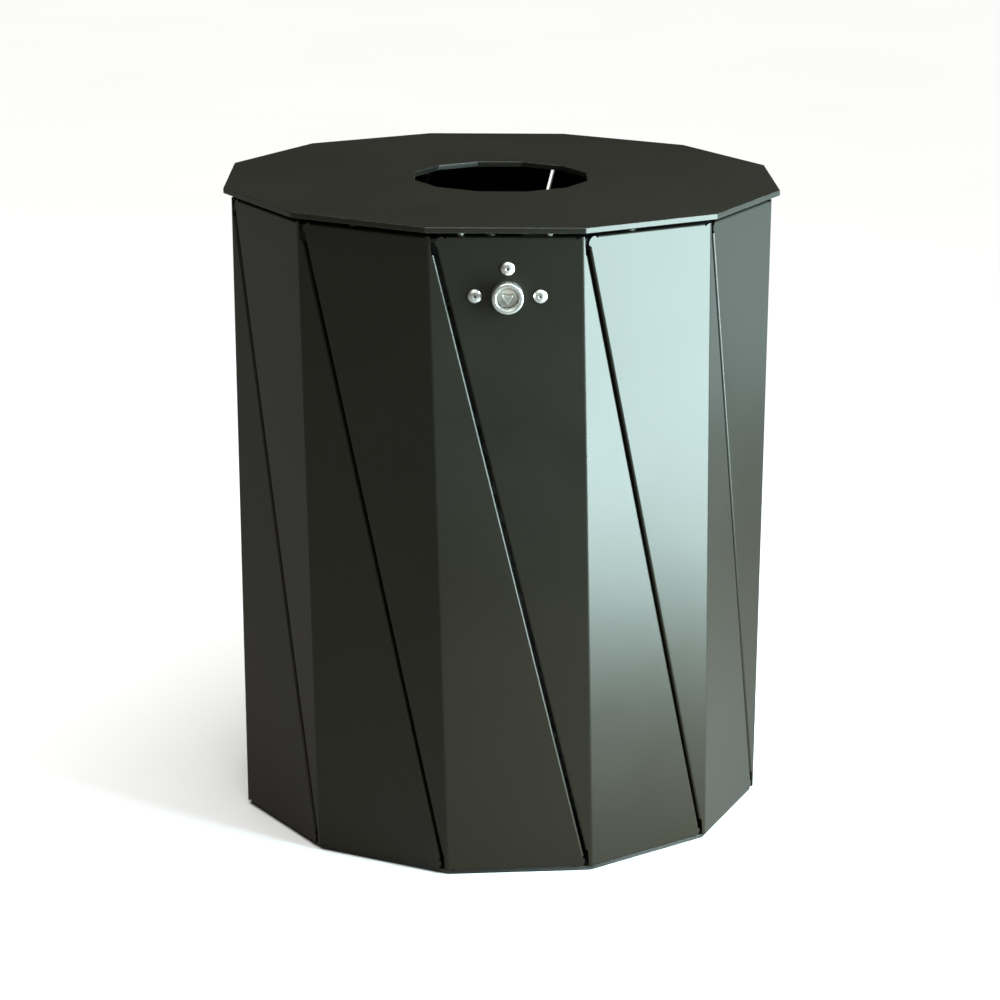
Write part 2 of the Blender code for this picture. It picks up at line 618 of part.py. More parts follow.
# ---- Rear hinge ----
def make_hinge(lid, rear_panel):
    """Five knuckles on one pin: three on the shell leaf, two on the lid leaf. A heel on each lid knuckle meets
    a tab of the shell leaf when the lid stands open."""
    knuckle = HINGE_WIDTH / HINGE_KNUCKLES
    edges = [-HINGE_WIDTH / 2 + knuckle * i for i in range(HINGE_KNUCKLES + 1)]
    shell_spans = [(edges[i], edges[i + 1]) for i in (0, 2, 4)]
    lid_spans = [(edges[i] + KNUCKLE_GAP, edges[i + 1] - KNUCKLE_GAP) for i in (1, 3)]
    along_x = (0, QUARTER_TURN, 0)

    leaf_y = (APOTHEM + CLEARANCE, APOTHEM + CLEARANCE + HINGE_LEAF)
    shell_leaf = box(
        "hinge_shell_leaf", (-HINGE_WIDTH / 2, leaf_y[0], HINGE_Z - SHELL_LEAF_HEIGHT),
        (HINGE_WIDTH / 2, leaf_y[1], HINGE_Z), bright_zinc,
    )
    barrels = rods("shell_barrels", [span_middle(span) for span in shell_spans], HINGE_BARREL_RADIUS,
                   knuckle, along_x)
    combine(shell_leaf, barrels, "UNION")
    room = HINGE_BARREL_RADIUS + KNUCKLE_GAP
    for i, (low, high) in enumerate(lid_spans):
        pocket = box(
            f"knuckle_room_{i + 1}", (low - KNUCKLE_GAP, HINGE_Y - 0.01, HINGE_Z - room),
            (high + KNUCKLE_GAP, HINGE_Y + 0.01, HINGE_Z + 0.01), collection=cutters,
        )
        combine(shell_leaf, as_cutter(pocket), "DIFFERENCE")
        tab = box(
            f"stop_tab_{i + 1}", (low + 0.002, leaf_y[0] + 0.001, HINGE_Z - 0.0062),
            (high - 0.002, HINGE_Y + 0.003, HINGE_Z - 0.0046), collection=cutters,
        )
        combine(shell_leaf, as_cutter(tab), "UNION")

    lid_leaf = box(
        "hinge_lid_leaf", (-HINGE_WIDTH / 2, HINGE_Y - LID_LEAF_LENGTH, LID_LEAF_TOP - HINGE_LEAF),
        (HINGE_WIDTH / 2, HINGE_Y - room, LID_LEAF_TOP), bright_zinc,
    )
    for i, (low, high) in enumerate(lid_spans):
        tongue = box(
            f"lid_tongue_{i + 1}", (low, HINGE_Y - room - 0.002, LID_LEAF_TOP - HINGE_LEAF),
            (high, HINGE_Y, LID_LEAF_TOP), collection=cutters,
        )
        combine(lid_leaf, as_cutter(tongue), "UNION")
    lid_barrels = rods("lid_barrels", [span_middle(span) for span in lid_spans], HINGE_BARREL_RADIUS,
                       knuckle - 2 * KNUCKLE_GAP, along_x)
    combine(lid_leaf, lid_barrels, "UNION")
    for i, (low, high) in enumerate(lid_spans):
        heel_mesh = box_mesh("stop_heel", (low + 0.001, 0.001, -0.001), (high - 0.001, STOP_HEEL_REACH, 0.001))
        heel = place(
            f"stop_heel_{i + 1}", heel_mesh, None, (0, HINGE_Y, HINGE_Z), (STOP_HEEL_ANGLE, 0, 0), cutters,
        )
        combine(lid_leaf, as_cutter(heel), "UNION")

    bore = rods(
        "hinge_bore", [(0, HINGE_Y, HINGE_Z)], HINGE_PIN_RADIUS + CLEARANCE, HINGE_WIDTH + 0.01, along_x,
    )
    for leaf in (shell_leaf, lid_leaf):
        combine(leaf, bore, "DIFFERENCE")

    half = HINGE_WIDTH / 2 + CLEARANCE
    head = HINGE_PIN_RADIUS + 0.001
    pin_profile = [
        (0, half + 0.0012), (head, half + 0.0008), (head, half), (HINGE_PIN_RADIUS, half),
        (HINGE_PIN_RADIUS, -half), (head, -half), (head, -half - 0.0008), (0, -half - 0.0012),
    ]
    turned("hinge_pin", pin_profile, 20, bright_zinc, (0, HINGE_Y, HINGE_Z), along_x)

    seats = [Vector((x, leaf_y[1], HINGE_Z - HINGE_RIVET_DROP)) for x in HINGE_RIVET_X]
    facing_back = (-QUARTER_TURN, 0, 0)
    holes = rods("hinge_rivet_holes", seats, RIVET_SHANK_RADIUS + CLEARANCE, 0.03, facing_back)
    combine(shell_leaf, holes, "DIFFERENCE")
    combine(rear_panel, holes, "DIFFERENCE")
    grip = HINGE_LEAF + SHEET + 4 * CLEARANCE
    for i, seat in enumerate(seats):
        blind_rivet(f"hinge_rivet_{i + 1}", seat, facing_back, HINGE_RIVET_HEAD_RADIUS, grip)

    screw_y = HINGE_Y - LID_LEAF_LENGTH + 0.008
    screw_seats = [Vector((x, screw_y, LID_LEAF_TOP - HINGE_LEAF)) for x in HINGE_RIVET_X]
    combine(lid_leaf, rods("lid_leaf_holes", screw_seats, SCREW_RADIUS + CLEARANCE, 0.012), "DIFFERENCE")
    combine(lid, blind_holes("lid_hinge_holes", screw_seats), "DIFFERENCE")
    screws = [lid_screw(f"hinge_screw_{i + 1}", seat) for i, seat in enumerate(screw_seats)]
    return [lid_leaf, *screws]


def span_middle(span):
    return Vector(((span[0] + span[1]) / 2, HINGE_Y, HINGE_Z))


# ---- Pads between panels and lid ----
def make_pads():
    pad_places = [
        Vector((-0.0375, -PAD_CENTRE, 0)), Vector((0.0365, -PAD_CENTRE, 0)),
        around(4 * SECTOR, PAD_CENTRE, 0), around(8 * SECTOR, PAD_CENTRE, 0),
    ]
    height = SHADOW_GAP - 2 * CLEARANCE
    profile = [
        (0, height), (PAD_RADIUS - 0.0008, height), (PAD_RADIUS, height - 0.0008), (PAD_RADIUS, 0), (0, 0),
    ]
    for i, spot in enumerate(pad_places):
        spot.z = SHELL_TOP + CLEARANCE
        turned(f"lid_pad_{i + 1}", profile, 16, pale_nylon, spot)


# ---- Liner and its handles ----
def make_liner():
    bore = LINER_RADIUS - LINER_WALL
    bead_radius = LINER_RADIUS + 0.0005
    bead_z = LINER_RIM_Z - RIM_BEAD_RADIUS
    bead = [
        (bead_radius + RIM_BEAD_RADIUS * math.cos(a), bead_z + RIM_BEAD_RADIUS * math.sin(a))
        for a in fan(150, -90, 9)
    ]
    foot = BASE_THICKNESS + CLEARANCE
    profile = [
        (0, LINER_FLOOR_Z), (bore - 0.004, LINER_FLOOR_Z), (bore, LINER_FLOOR_Z + 0.004), (bore, bead_z),
        *bead, (LINER_RADIUS, bead_z - RIM_BEAD_RADIUS - 0.001), (LINER_RADIUS, foot), (bore, foot),
        (bore, LINER_FLOOR_Z - 0.0022), (0, LINER_FLOOR_Z - LINER_WALL),
    ]
    liner = turned("liner", profile, 48, galvanised)
    holes = []
    for side in (-1, 1):
        for end in (-1, 1):
            low_x, high_x = sorted((side * (HANDLE_X - LUG_DEPTH), side * LUG_ROOT))
            low_y, high_y = end * LUG_Y - LUG_HALF_WIDTH, end * LUG_Y + LUG_HALF_WIDTH
            lug = box(
                f"lug_{side}_{end}", (low_x, low_y, HANDLE_Z - LUG_HALF_HEIGHT),
                (high_x, high_y, HANDLE_Z + LUG_HALF_HEIGHT), collection=cutters,
            )
            combine(liner, as_cutter(lug), "UNION")
            holes.append(Vector((side * HANDLE_X, end * LUG_Y, HANDLE_Z)))
    lug_bore = rods("lug_bores", holes, HANDLE_WIRE_RADIUS + CLEARANCE, 0.020, (QUARTER_TURN, 0, 0))
    combine(liner, lug_bore, "DIFFERENCE")
    for name, side in (("liner_handle_left", -1), ("liner_handle_right", 1)):
        liner_handle(name, side)


def liner_handle(name, side):
    """A bent wire that hangs from its turned-out ends, in the plane of its two lugs."""
    pin_end = LUG_Y + LUG_HALF_WIDTH + HANDLE_WIRE_RADIUS
    crook = HANDLE_CROOK
    bend = HANDLE_BEND
    half = [Vector((0, pin_end, 0)), Vector((0, HANDLE_HALF_WIDTH + crook, 0))]
    half += [
        Vector((0, HANDLE_HALF_WIDTH + crook * (1 - math.sin(a)), crook * (math.cos(a) - 1)))
        for a in fan(30, 90, 3)
    ]
    half += [
        Vector((0, HANDLE_HALF_WIDTH - bend * (1 - math.cos(a)), bend - HANDLE_DROP - bend * math.sin(a)))
        for a in fan(0, 90, 5)
    ]
    mirrored = [Vector((0, -point.y, point.z)) for point in reversed(half)]
    route = [*half, *mirrored]
    curve = bpy.data.curves.new(name, "CURVE")
    curve.dimensions = "3D"
    curve.bevel_depth = HANDLE_WIRE_RADIUS
    curve.bevel_resolution = 2
    curve.use_fill_caps = True
    spline = curve.splines.new("POLY")
    spline.points.add(len(route) - 1)
    for point, spot in zip(spline.points, route):
        point.co = (*spot, 1.0)
    place(name, curve, galvanised, (side * HANDLE_X, 0, HANDLE_Z))


# ---- The whole bin ----
panels = make_panels()
front_panel = panels[0]
rear_panel = panels[SIDES // 2]
ring = make_frame()
make_lock(front_panel)
lid, on_lid = make_lid()
on_lid += make_hinge(lid, rear_panel)
make_pads()
make_liner()

# The catch passes down through the ring and past the front panel's bent-in top edge.
notch_half_width = CATCH_WIDTH / 2 + 0.003
notch = box(
    "catch_notch", (CATCH_X - notch_half_width, -0.2300, RING_TOP - 0.02),
    (CATCH_X + notch_half_width, -0.1900, SHELL_TOP + 0.001), collection=cutters,
)
as_cutter(notch)
combine(ring, notch, "DIFFERENCE")
combine(front_panel, notch, "DIFFERENCE")

hang_on(axis_empty("lid_axis", Vector((0, HINGE_Y, HINGE_Z))), lid, *on_lid)
for body in parts.objects:
    if body.type == "MESH":
        smooth_round_faces(body.data)
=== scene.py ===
import math

import bmesh
import bpy
from mathutils import Matrix, Quaternion, Vector


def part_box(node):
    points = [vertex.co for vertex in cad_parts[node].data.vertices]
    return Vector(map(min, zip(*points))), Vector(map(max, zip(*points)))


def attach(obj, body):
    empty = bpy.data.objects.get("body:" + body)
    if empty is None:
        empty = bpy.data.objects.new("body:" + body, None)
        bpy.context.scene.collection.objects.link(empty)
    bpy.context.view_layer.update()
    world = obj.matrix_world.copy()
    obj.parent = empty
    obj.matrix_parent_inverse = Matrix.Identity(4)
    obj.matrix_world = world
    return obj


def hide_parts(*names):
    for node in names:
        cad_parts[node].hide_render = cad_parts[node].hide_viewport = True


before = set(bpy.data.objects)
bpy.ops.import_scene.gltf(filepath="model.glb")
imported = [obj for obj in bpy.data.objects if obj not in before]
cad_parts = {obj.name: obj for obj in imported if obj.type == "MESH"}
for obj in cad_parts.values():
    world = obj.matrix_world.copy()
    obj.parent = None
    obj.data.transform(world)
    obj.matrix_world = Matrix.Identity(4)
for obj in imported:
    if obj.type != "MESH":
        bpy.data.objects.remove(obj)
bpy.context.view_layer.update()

# ---- Shell panels ----
# Twelve panels of 2 mm steel sheet, laser cut and folded: one long slanting bend and four bent-in edges each.
# Powder coated in a fine-textured warm anthracite, and screwed by their top and foot flanges to the frame.
# The foot is turned a few degrees past the top, which makes the bends and the slits between panels lean.
SIDES = 12
SECTOR = math.tau / SIDES
TWIST = math.radians(4.15)
SHEET = 0.002
BEND_RADIUS = 0.0023
MAIN_BEND_SHARE = 0.6  # of the bend radius, for the long slanting bend
SLIT_TOP_OFFSET = 0.0029
SLIT_FOOT_OFFSET = 0.0039
SLIT_TOP_GAP = 0.0029
SLIT_FOOT_GAP = 0.0025
SLIT_CORNER_RADIUS = 0.006
FLANGE_END = 0.0028  # from each corner to where a bent-in edge begins
LEVEL_FLANGE = 0.015
SLIT_FLANGE = 0.011
NARROW_END = 0.016  # left flat at the sharp end of each face
CUT_EDGE = 0.0003
BEND_STEPS = 6

panel_low, panel_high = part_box("panel_01")
SHELL_TOP = panel_high.z
SHELL_FOOT = panel_low.z
SHELL_APOTHEM = -panel_low.y
SHELL_RADIUS = SHELL_APOTHEM / math.cos(SECTOR / 2)


def add(tree, kind, inputs=None, **settings):
    """One shader node. An input is a value, or the socket that feeds it."""
    made = tree.nodes.new(kind)
    for key, value in settings.items():
        setattr(made, key, value)
    for key, value in (inputs or {}).items():
        if isinstance(value, bpy.types.NodeSocket):
            tree.links.new(value, made.inputs[key])
        else:
            made.inputs[key].default_value = value
    return made


def new_group(name, inputs, outputs):
    """A node group with its named sockets; returns it with its input and output nodes."""
    group = bpy.data.node_groups.new(name, "ShaderNodeTree")
    for label, kind, value in inputs:
        socket = group.interface.new_socket(label, in_out="INPUT", socket_type=kind)
        if value is not None:
            socket.default_value = value
    for label, kind in outputs:
        group.interface.new_socket(label, in_out="OUTPUT", socket_type=kind)
    return group, group.nodes.new("NodeGroupInput"), group.nodes.new("NodeGroupOutput")


def noise(tree, place, scale, detail, roughness=0.5):
    """Noise over a piece's own coordinates."""
    return add(tree, "ShaderNodeTexNoise", {
        "Vector": place, "Scale": scale, "Detail": detail, "Roughness": roughness,
    })


def spread(tree, value, low, high, start=0.0, end=1.0):
    """Carries a value that runs from start to end over to low to high."""
    return add(tree, "ShaderNodeMapRange", {
        "Value": value, "From Min": start, "From Max": end, "To Min": low, "To Max": high,
    }).outputs[0]


def product(tree, first, second):
    return add(tree, "ShaderNodeMath", {0: first, 1: second}, operation="MULTIPLY").outputs[0]


def bump(tree, height, strength, distance, **over):
    """A bump of a height field, laid over another normal if there is one."""
    return add(tree, "ShaderNodeBump", {
        "Height": height, "Strength": strength, "Distance": distance, **over,
    }).outputs[0]


def coat_grain_group():
    """The fine bumps of a textured powder coat, and the broad patches where it lies a little thicker."""
    group, given, out = new_group(
        "coat_grain",
        [("Vector", "NodeSocketVector", None), ("Grain", "NodeSocketFloat", 1000.0),
         ("Patches", "NodeSocketFloat", 9.0)],
        [("Height", "NodeSocketFloat"), ("Patch", "NodeSocketFloat")],
    )
    fine = noise(group, given.outputs["Vector"], given.outputs["Grain"], 3.0, 0.6)
    pimples = add(group, "ShaderNodeTexVoronoi", {
        "Vector": given.outputs["Vector"], "Scale": given.outputs["Grain"],
    }, feature="SMOOTH_F1")
    height = add(group, "ShaderNodeMath", {
        0: fine.outputs["Fac"], 1: pimples.outputs["Distance"],
    }, operation="SUBTRACT")
    broad = noise(group, given.outputs["Vector"], given.outputs["Patches"], 5.0, 0.55)
    patch = spread(group, broad.outputs["Fac"], 0.0, 1.0, 0.3, 0.7)
    group.links.new(height.outputs[0], out.inputs["Height"])
    group.links.new(patch, out.inputs["Patch"])
    return group


def edge_wear_group():
    """Where handling has polished the outward edges: 1 on a worn edge, 0 on a flat face."""
    group, given, out = new_group(
        "edge_wear",
        [("Vector", "NodeSocketVector", None), ("Amount", "NodeSocketFloat", 0.5)],
        [("Mask", "NodeSocketFloat")],
    )
    edge = add(group, "ShaderNodeAttribute", attribute_name="worn_edge")
    breaks = noise(group, given.outputs["Vector"], 160.0, 4.0)
    patchy = spread(group, breaks.outputs["Fac"], 0.0, 1.0, 0.42, 0.62)
    worn = product(group, edge.outputs["Fac"], patchy)
    group.links.new(product(group, worn, given.outputs["Amount"]), out.inputs["Mask"])
    return group


def painted_floor_reflection_group():
    """Painted reflection of a warm floor, as a brown tint low on the bin: 1 at the ground, fading out with
    height in uneven blotches.
    """
    group, given, out = new_group(
        "painted_floor_reflection",
        [("Vector", "NodeSocketVector", None), ("Reach", "NodeSocketFloat", 0.45)],
        [("Mask", "NodeSocketFloat")],
    )
    place = add(group, "ShaderNodeSeparateXYZ", {"Vector": given.outputs["Vector"]})
    fade = add(group, "ShaderNodeMapRange", {
        "Value": place.outputs["Z"], "From Min": given.outputs["Reach"], "From Max": 0.0,
    }, interpolation_type="SMOOTHSTEP")
    blotches = noise(group, given.outputs["Vector"], 14.0, 6.0)
    uneven = spread(group, blotches.outputs["Fac"], 0.6, 1.0)
    group.links.new(product(group, fade.outputs[0], uneven), out.inputs["Mask"])
    return group


coat_grain = coat_grain_group()
edge_wear = edge_wear_group()
painted_floor_reflection = painted_floor_reflection_group()


def blank_material(name):
    """A material with only its Principled shader; returns it, its node tree and the shader."""
    material = bpy.data.materials.new(name)
    material.use_nodes = True
    tree = material.node_tree
    return material, tree, tree.nodes["Principled BSDF"]


def mix_colour(tree, mask, first, second):
    return add(tree, "ShaderNodeMix", {"Factor": mask, 6: first, 7: second}, data_type="RGBA").outputs[2]


def powder_coating(name, thin, thick, worn, painted_reflection_tone, gloss, grain, wear):
    """Powder coat: two close tones in patches, lighter worn edges, a painted reflection of a warm floor near
    the ground, fine bumps on faces that are never quite flat."""
    material, tree, shader = blank_material(name)
    place = add(tree, "ShaderNodeTexCoord").outputs["Object"]
    texture = add(tree, "ShaderNodeGroup", node_tree=coat_grain)
    texture.inputs["Grain"].default_value = grain
    rubbed = add(tree, "ShaderNodeGroup", node_tree=edge_wear)
    rubbed.inputs["Amount"].default_value = wear
    painted_reflection_node = add(tree, "ShaderNodeGroup", node_tree=painted_floor_reflection)
    for group in (texture, rubbed, painted_reflection_node):
        tree.links.new(place, group.inputs["Vector"])
    tone = mix_colour(tree, texture.outputs["Patch"], (*thin, 1), (*thick, 1))
    # Painted reflection: a brown tint low on the piece stands in for the warm floor that the coat mirrors.
    tone = mix_colour(tree, painted_reflection_node.outputs["Mask"], tone, (*painted_reflection_tone, 1))
    tone = mix_colour(tree, rubbed.outputs["Mask"], tone, (*worn, 1))
    tree.links.new(tone, shader.inputs["Base Color"])
    rough = spread(tree, texture.outputs["Patch"], gloss - 0.03, gloss + 0.03)
    tree.links.new(rough, shader.inputs["Roughness"])
    wave = bump(tree, noise(tree, place, 4.0, 1.0).outputs["Fac"], 1.0, 0.0006)
    tree.links.new(bump(tree, texture.outputs["Height"], 0.22, 0.0002, Normal=wave), shader.inputs["Normal"])
    return material, shader


# The fifth colour is the painted reflection of a warm floor, a brown tint laid low on the faces.
anthracite, anthracite_shader = powder_coating(
    "anthracite_powder_coat", (0.0100, 0.0094, 0.0068), (0.0130, 0.0124, 0.0092), (0.060, 0.062, 0.058),
    (0.013, 0.0085, 0.004), gloss=0.30, grain=1000.0, wear=0.35,
)
anthracite_shader.inputs["Specular IOR Level"].default_value = 0.35
anthracite_shader.inputs["Specular Tint"].default_value = (1.0, 0.97, 0.86, 1.0)


def shell_corner(azimuth, height):
    """A corner of the shell, its azimuth counted from the front, -Y, towards +X."""
    return Vector((SHELL_RADIUS * math.sin(azimuth), -SHELL_RADIUS * math.cos(azimuth), height))


def rounded_corner(before, corner, after, radius, steps=8):
    """The points of an arc that takes the place of a sharp corner."""
    to_before = (before - corner).normalized()
    to_after = (after - corner).normalized()
    half = to_before.angle(to_after) / 2
    centre = corner + (to_before + to_after).normalized() * radius / math.sin(half)
    start = corner + to_before * radius / math.tan(half) - centre
    end = corner + to_after * radius / math.tan(half) - centre
    sweep = start.angle(end)
    points = []
    for i in range(steps + 1):
        share = i / steps
        swung = start * math.sin(sweep * (1 - share)) + end * math.sin(sweep * share)
        points.append(centre + swung / math.sin(sweep))
    return points


def step_towards(start, end, distance):
    return start + (end - start).normalized() * distance


def mesh_from(work, name):
    mesh = bpy.data.meshes.new(name)
    work.to_mesh(mesh)
    work.free()
    return mesh


def folded_panel():
    """The front panel's outside skin: two faces either side of the slanting bend, and four edges bent in."""
    top_left, top_right = (shell_corner((k - 0.5) * SECTOR, SHELL_TOP) for k in (0, 1))
    foot_left, foot_right = (shell_corner((k - 0.5) * SECTOR + TWIST, SHELL_FOOT) for k in (1, 2))
    along_top = (top_right - top_left).normalized()
    along_foot = (foot_right - foot_left).normalized()
    upper_normal = along_top.cross(top_right - foot_left).normalized()
    lower_normal = along_foot.cross(top_right - foot_left).normalized()
    upper_in = Vector((0, 0, 1)).cross(along_top)
    lower_in = Vector((0, 0, 1)).cross(along_foot)

    slit_top = top_left + along_top * (SLIT_TOP_OFFSET + SLIT_TOP_GAP / 2)
    foot_point = foot_left - along_top * (SLIT_FOOT_OFFSET - SLIT_FOOT_GAP / 2)
    top_point = top_right + along_foot * (SLIT_TOP_OFFSET - SLIT_TOP_GAP / 2)
    slit_foot = foot_right - along_foot * (SLIT_FOOT_OFFSET + SLIT_FOOT_GAP / 2)
    upper_arc = rounded_corner(top_right, slit_top, foot_point, SLIT_CORNER_RADIUS)
    lower_arc = rounded_corner(foot_left, slit_foot, top_point, SLIT_CORNER_RADIUS)

    top_bend = (
        step_towards(top_right, top_left, 2 * FLANGE_END), step_towards(upper_arc[0], top_right, FLANGE_END),
    )
    foot_bend = (
        step_towards(foot_left, foot_right, 2 * FLANGE_END),
        step_towards(lower_arc[0], foot_left, FLANGE_END),
    )
    left_bend = (
        step_towards(upper_arc[-1], foot_point, FLANGE_END), step_towards(foot_point, slit_top, NARROW_END),
    )
    right_bend = (
        step_towards(lower_arc[-1], top_point, FLANGE_END), step_towards(top_point, slit_foot, NARROW_END),
    )

    work = bmesh.new()
    weight = work.edges.layers.float.new("bevel_weight_edge")
    corners = {}

    def at(point):
        key = tuple(round(value, 7) for value in point)
        if key not in corners:
            corners[key] = work.verts.new(point)
        return corners[key]

    def bend_in(bend, inward, depth):
        start, end = bend
        taper = (end - start).normalized() * depth / 2
        edge = (end, start, start + inward * depth + taper, end + inward * depth - taper)
        work.faces.new([at(p) for p in edge])
        work.edges.get((at(start), at(end)))[weight] = 1.0

    work.faces.new([at(p) for p in (foot_point, foot_left, top_right, *top_bend, *upper_arc, *left_bend)])
    work.faces.new([at(p) for p in (top_right, foot_left, *foot_bend, *lower_arc, *right_bend, top_point)])
    bend_in(top_bend, upper_in, LEVEL_FLANGE)
    bend_in(left_bend, -upper_normal, SLIT_FLANGE)
    bend_in(foot_bend, lower_in, LEVEL_FLANGE)
    bend_in(right_bend, -lower_normal, SLIT_FLANGE)
    work.edges.get((at(top_right), at(foot_left)))[weight] = MAIN_BEND_SHARE
    bmesh.ops.recalc_face_normals(work, faces=work.faces)
    return mesh_from(work, "folded_panel")


def show(name, mesh, material, place=(0, 0, 0), turn=(0, 0, 0)):
    """A piece of the bin, in the scene with its material."""
    piece = bpy.data.objects.new(name, mesh)
    piece.location = place
    piece.rotation_euler = turn
    bpy.context.scene.collection.objects.link(piece)
    mesh.materials.clear()
    mesh.materials.append(material)
    return piece


def drill(piece, seats, radius, length, turn):
    """Round holes through a piece, each centred on a seat."""
    work = bmesh.new()
    rotation = turn.to_matrix().to_4x4()
    for seat in seats:
        bmesh.ops.create_cone(
            work, cap_ends=True, segments=48, radius1=radius, radius2=radius, depth=length,
            matrix=Matrix.Translation(seat) @ rotation,
        )
    bit = bpy.data.objects.new("drill", mesh_from(work, "drill"))
    bpy.context.scene.collection.objects.link(bit)
    hole = piece.modifiers.new("hole", "BOOLEAN")
    hole.operation = "DIFFERENCE"
    hole.object = bit
    settle(piece)
    bpy.data.objects.remove(bit)


def settle(piece):
    """The piece's modifiers become its mesh."""
    bpy.context.view_layer.update()
    graph = bpy.context.evaluated_depsgraph_get()
    piece.data = bpy.data.meshes.new_from_object(piece.evaluated_get(graph))
    piece.modifiers.clear()


def mark_worn_edges(mesh, narrow):
    """Marks the faces narrower than this: they lie on a broken edge, where hands and bags rub the coat."""
    marks = [0.0] * len(mesh.polygons)
    for face in mesh.polygons:
        corners = [mesh.vertices[i].co for i in face.vertices]
        outline = sum((corners[i - 1] - corner).length for i, corner in enumerate(corners))
        marks[face.index] = 1.0 if 2 * face.area < narrow * outline else 0.0
    mesh.attributes.new("worn_edge", "FLOAT", "FACE").data.foreach_set("value", marks)


def soft_edges(piece, width, steps=2, angle=40):
    """Broken cut edges, with the flat faces still shaded flat."""
    edges = piece.modifiers.new("broken_edges", "BEVEL")
    edges.width = width
    edges.segments = steps
    edges.limit_method = "ANGLE"
    edges.angle_limit = math.radians(angle)
    settle(piece)
    mark_worn_edges(piece.data, width)
    piece.data.shade_smooth()
    flats = piece.modifiers.new("flat_faces", "WEIGHTED_NORMAL")
    flats.keep_sharp = False
    flats.weight = 100


turned_to_front = Quaternion((1, 0, 0), math.pi / 2)
turned_to_back = Quaternion((1, 0, 0), -math.pi / 2)


def middle(node):
    low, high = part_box(node)
    return (low + high) / 2


lock_low, lock_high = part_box("lock_housing")
LOCK_HEAD_HEIGHT = 0.012
lock_seat = Vector((middle("lock_housing").x, lock_low.y + LOCK_HEAD_HEIGHT, middle("lock_housing").z))
LOCK_RIVETS = ("lock_rivet_top", "lock_rivet_left", "lock_rivet_right")
HINGE_RIVETS = [f"hinge_rivet_{i}" for i in (1, 2, 3, 4)]
RIVET_BORE = 0.0027
LOCK_BORE = 0.0083
DRILL_LENGTH = 0.04
NOTCH_ROOM = 0.003  # beside the catch that passes down through the front panel's flange
NOTCH_FRONT = -0.2300
NOTCH_DEPTH = 0.040
NOTCH_HEIGHT = 0.020

skin = folded_panel()
for number in range(SIDES):
    mesh = skin.copy()
    mesh.transform(Matrix.Rotation(number * SECTOR, 4, "Z"))
    panel = show(f"shell_panel_{number + 1:02d}", mesh, anthracite)
    bends = panel.modifiers.new("bends", "BEVEL")
    bends.limit_method = "WEIGHT"
    bends.width = BEND_RADIUS
    bends.segments = BEND_STEPS
    bends.use_clamp_overlap = False
    sheet = panel.modifiers.new("sheet", "SOLIDIFY")
    sheet.thickness = SHEET
    sheet.offset = -1
    sheet.use_even_offset = True
    settle(panel)
    if number == 0:
        drill(panel, [middle(node) for node in LOCK_RIVETS], RIVET_BORE, DRILL_LENGTH, turned_to_front)
        drill(panel, [lock_seat], LOCK_BORE, DRILL_LENGTH, turned_to_front)
        notch_low, notch_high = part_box("lid_catch")
        work = bmesh.new()
        bmesh.ops.create_cube(work, size=1.0)
        notch_size = Vector((notch_high.x - notch_low.x + 2 * NOTCH_ROOM, NOTCH_DEPTH, NOTCH_HEIGHT))
        notch_place = Vector((middle("lid_catch").x, NOTCH_FRONT + NOTCH_DEPTH / 2, SHELL_TOP))
        work.transform(Matrix.Translation(notch_place) @ Matrix.Diagonal((*notch_size, 1.0)))
        punch = bpy.data.objects.new("punch", mesh_from(work, "punch"))
        bpy.context.scene.collection.objects.link(punch)
        notch = panel.modifiers.new("notch", "BOOLEAN")
        notch.object = punch
        settle(panel)
        bpy.data.objects.remove(punch)
    if number == SIDES // 2:
        drill(panel, [middle(node) for node in HINGE_RIVETS], RIVET_BORE, DRILL_LENGTH, turned_to_back)
    soft_edges(panel, CUT_EDGE, angle=50)
    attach(panel, "shell")
    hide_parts(f"panel_{number + 1:02d}")

# ---- Lid ----
# A twelve-cornered plate of 5 mm steel, plasma cut, its edges broken before it was coated like the panels.
# It hangs on the rear hinge and has a twelve-cornered opening in the middle.
LID_EDGE = 0.0007
OPENING_RADIUS = 0.0815
lid_low, lid_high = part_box("lid")
lid_radius = lid_high.x / math.cos(SECTOR / 2)


def skin_rings(work, rings):
    """Quads between each ring of corners and the next."""
    for ring, after in zip(rings, rings[1:]):
        for i in range(len(ring)):
            j = (i + 1) % len(ring)
            work.faces.new((ring[i], ring[j], after[j], after[i]))


def ring_plate(name, outer, inner, low, high):
    """A flat plate between an outer outline and the opening in it, in quads."""
    work = bmesh.new()
    rings = [[work.verts.new((x, y, z)) for x, y in outline]
             for outline, z in ((outer, low), (outer, high), (inner, high), (inner, low))]
    skin_rings(work, rings + rings[:1])
    bmesh.ops.recalc_face_normals(work, faces=work.faces)
    return mesh_from(work, name)


def circle_points(count, radius, first=0.0):
    return [
        (radius * math.cos(first + math.tau * i / count), radius * math.sin(first + math.tau * i / count))
        for i in range(count)
    ]


lid_mesh = ring_plate(
    "lid_plate", circle_points(SIDES, lid_radius, SECTOR / 2),
    circle_points(SIDES, OPENING_RADIUS, SECTOR / 2), lid_low.z, lid_high.z,
)
lid_plate = show("lid_plate", lid_mesh, anthracite)
soft_edges(lid_plate, LID_EDGE, steps=3, angle=20)
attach(lid_plate, "lid")
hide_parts("lid")

# ---- Lock ----
# A quarter-turn utility lock in bright zinc-plated die casting: a round head with a well, and in it a
# turning dial with a triangular post for the key. A nut behind holds it in the panel, and a cam is screwed
# to its shaft.
LOCK_HEAD_RADIUS = 0.0133
LOCK_WELL_RADIUS = 0.0090
LOCK_WELL_FLOOR = 0.0040
LOCK_BODY_RADIUS = 0.0080
LOCK_BODY_LENGTH = 0.0150
SHAFT_RADIUS = 0.0050
SHAFT_LENGTH = 0.0172
KEY_RADIUS = 0.0058
KEY_TOP = 0.0105
KEY_CORNER = 0.0007


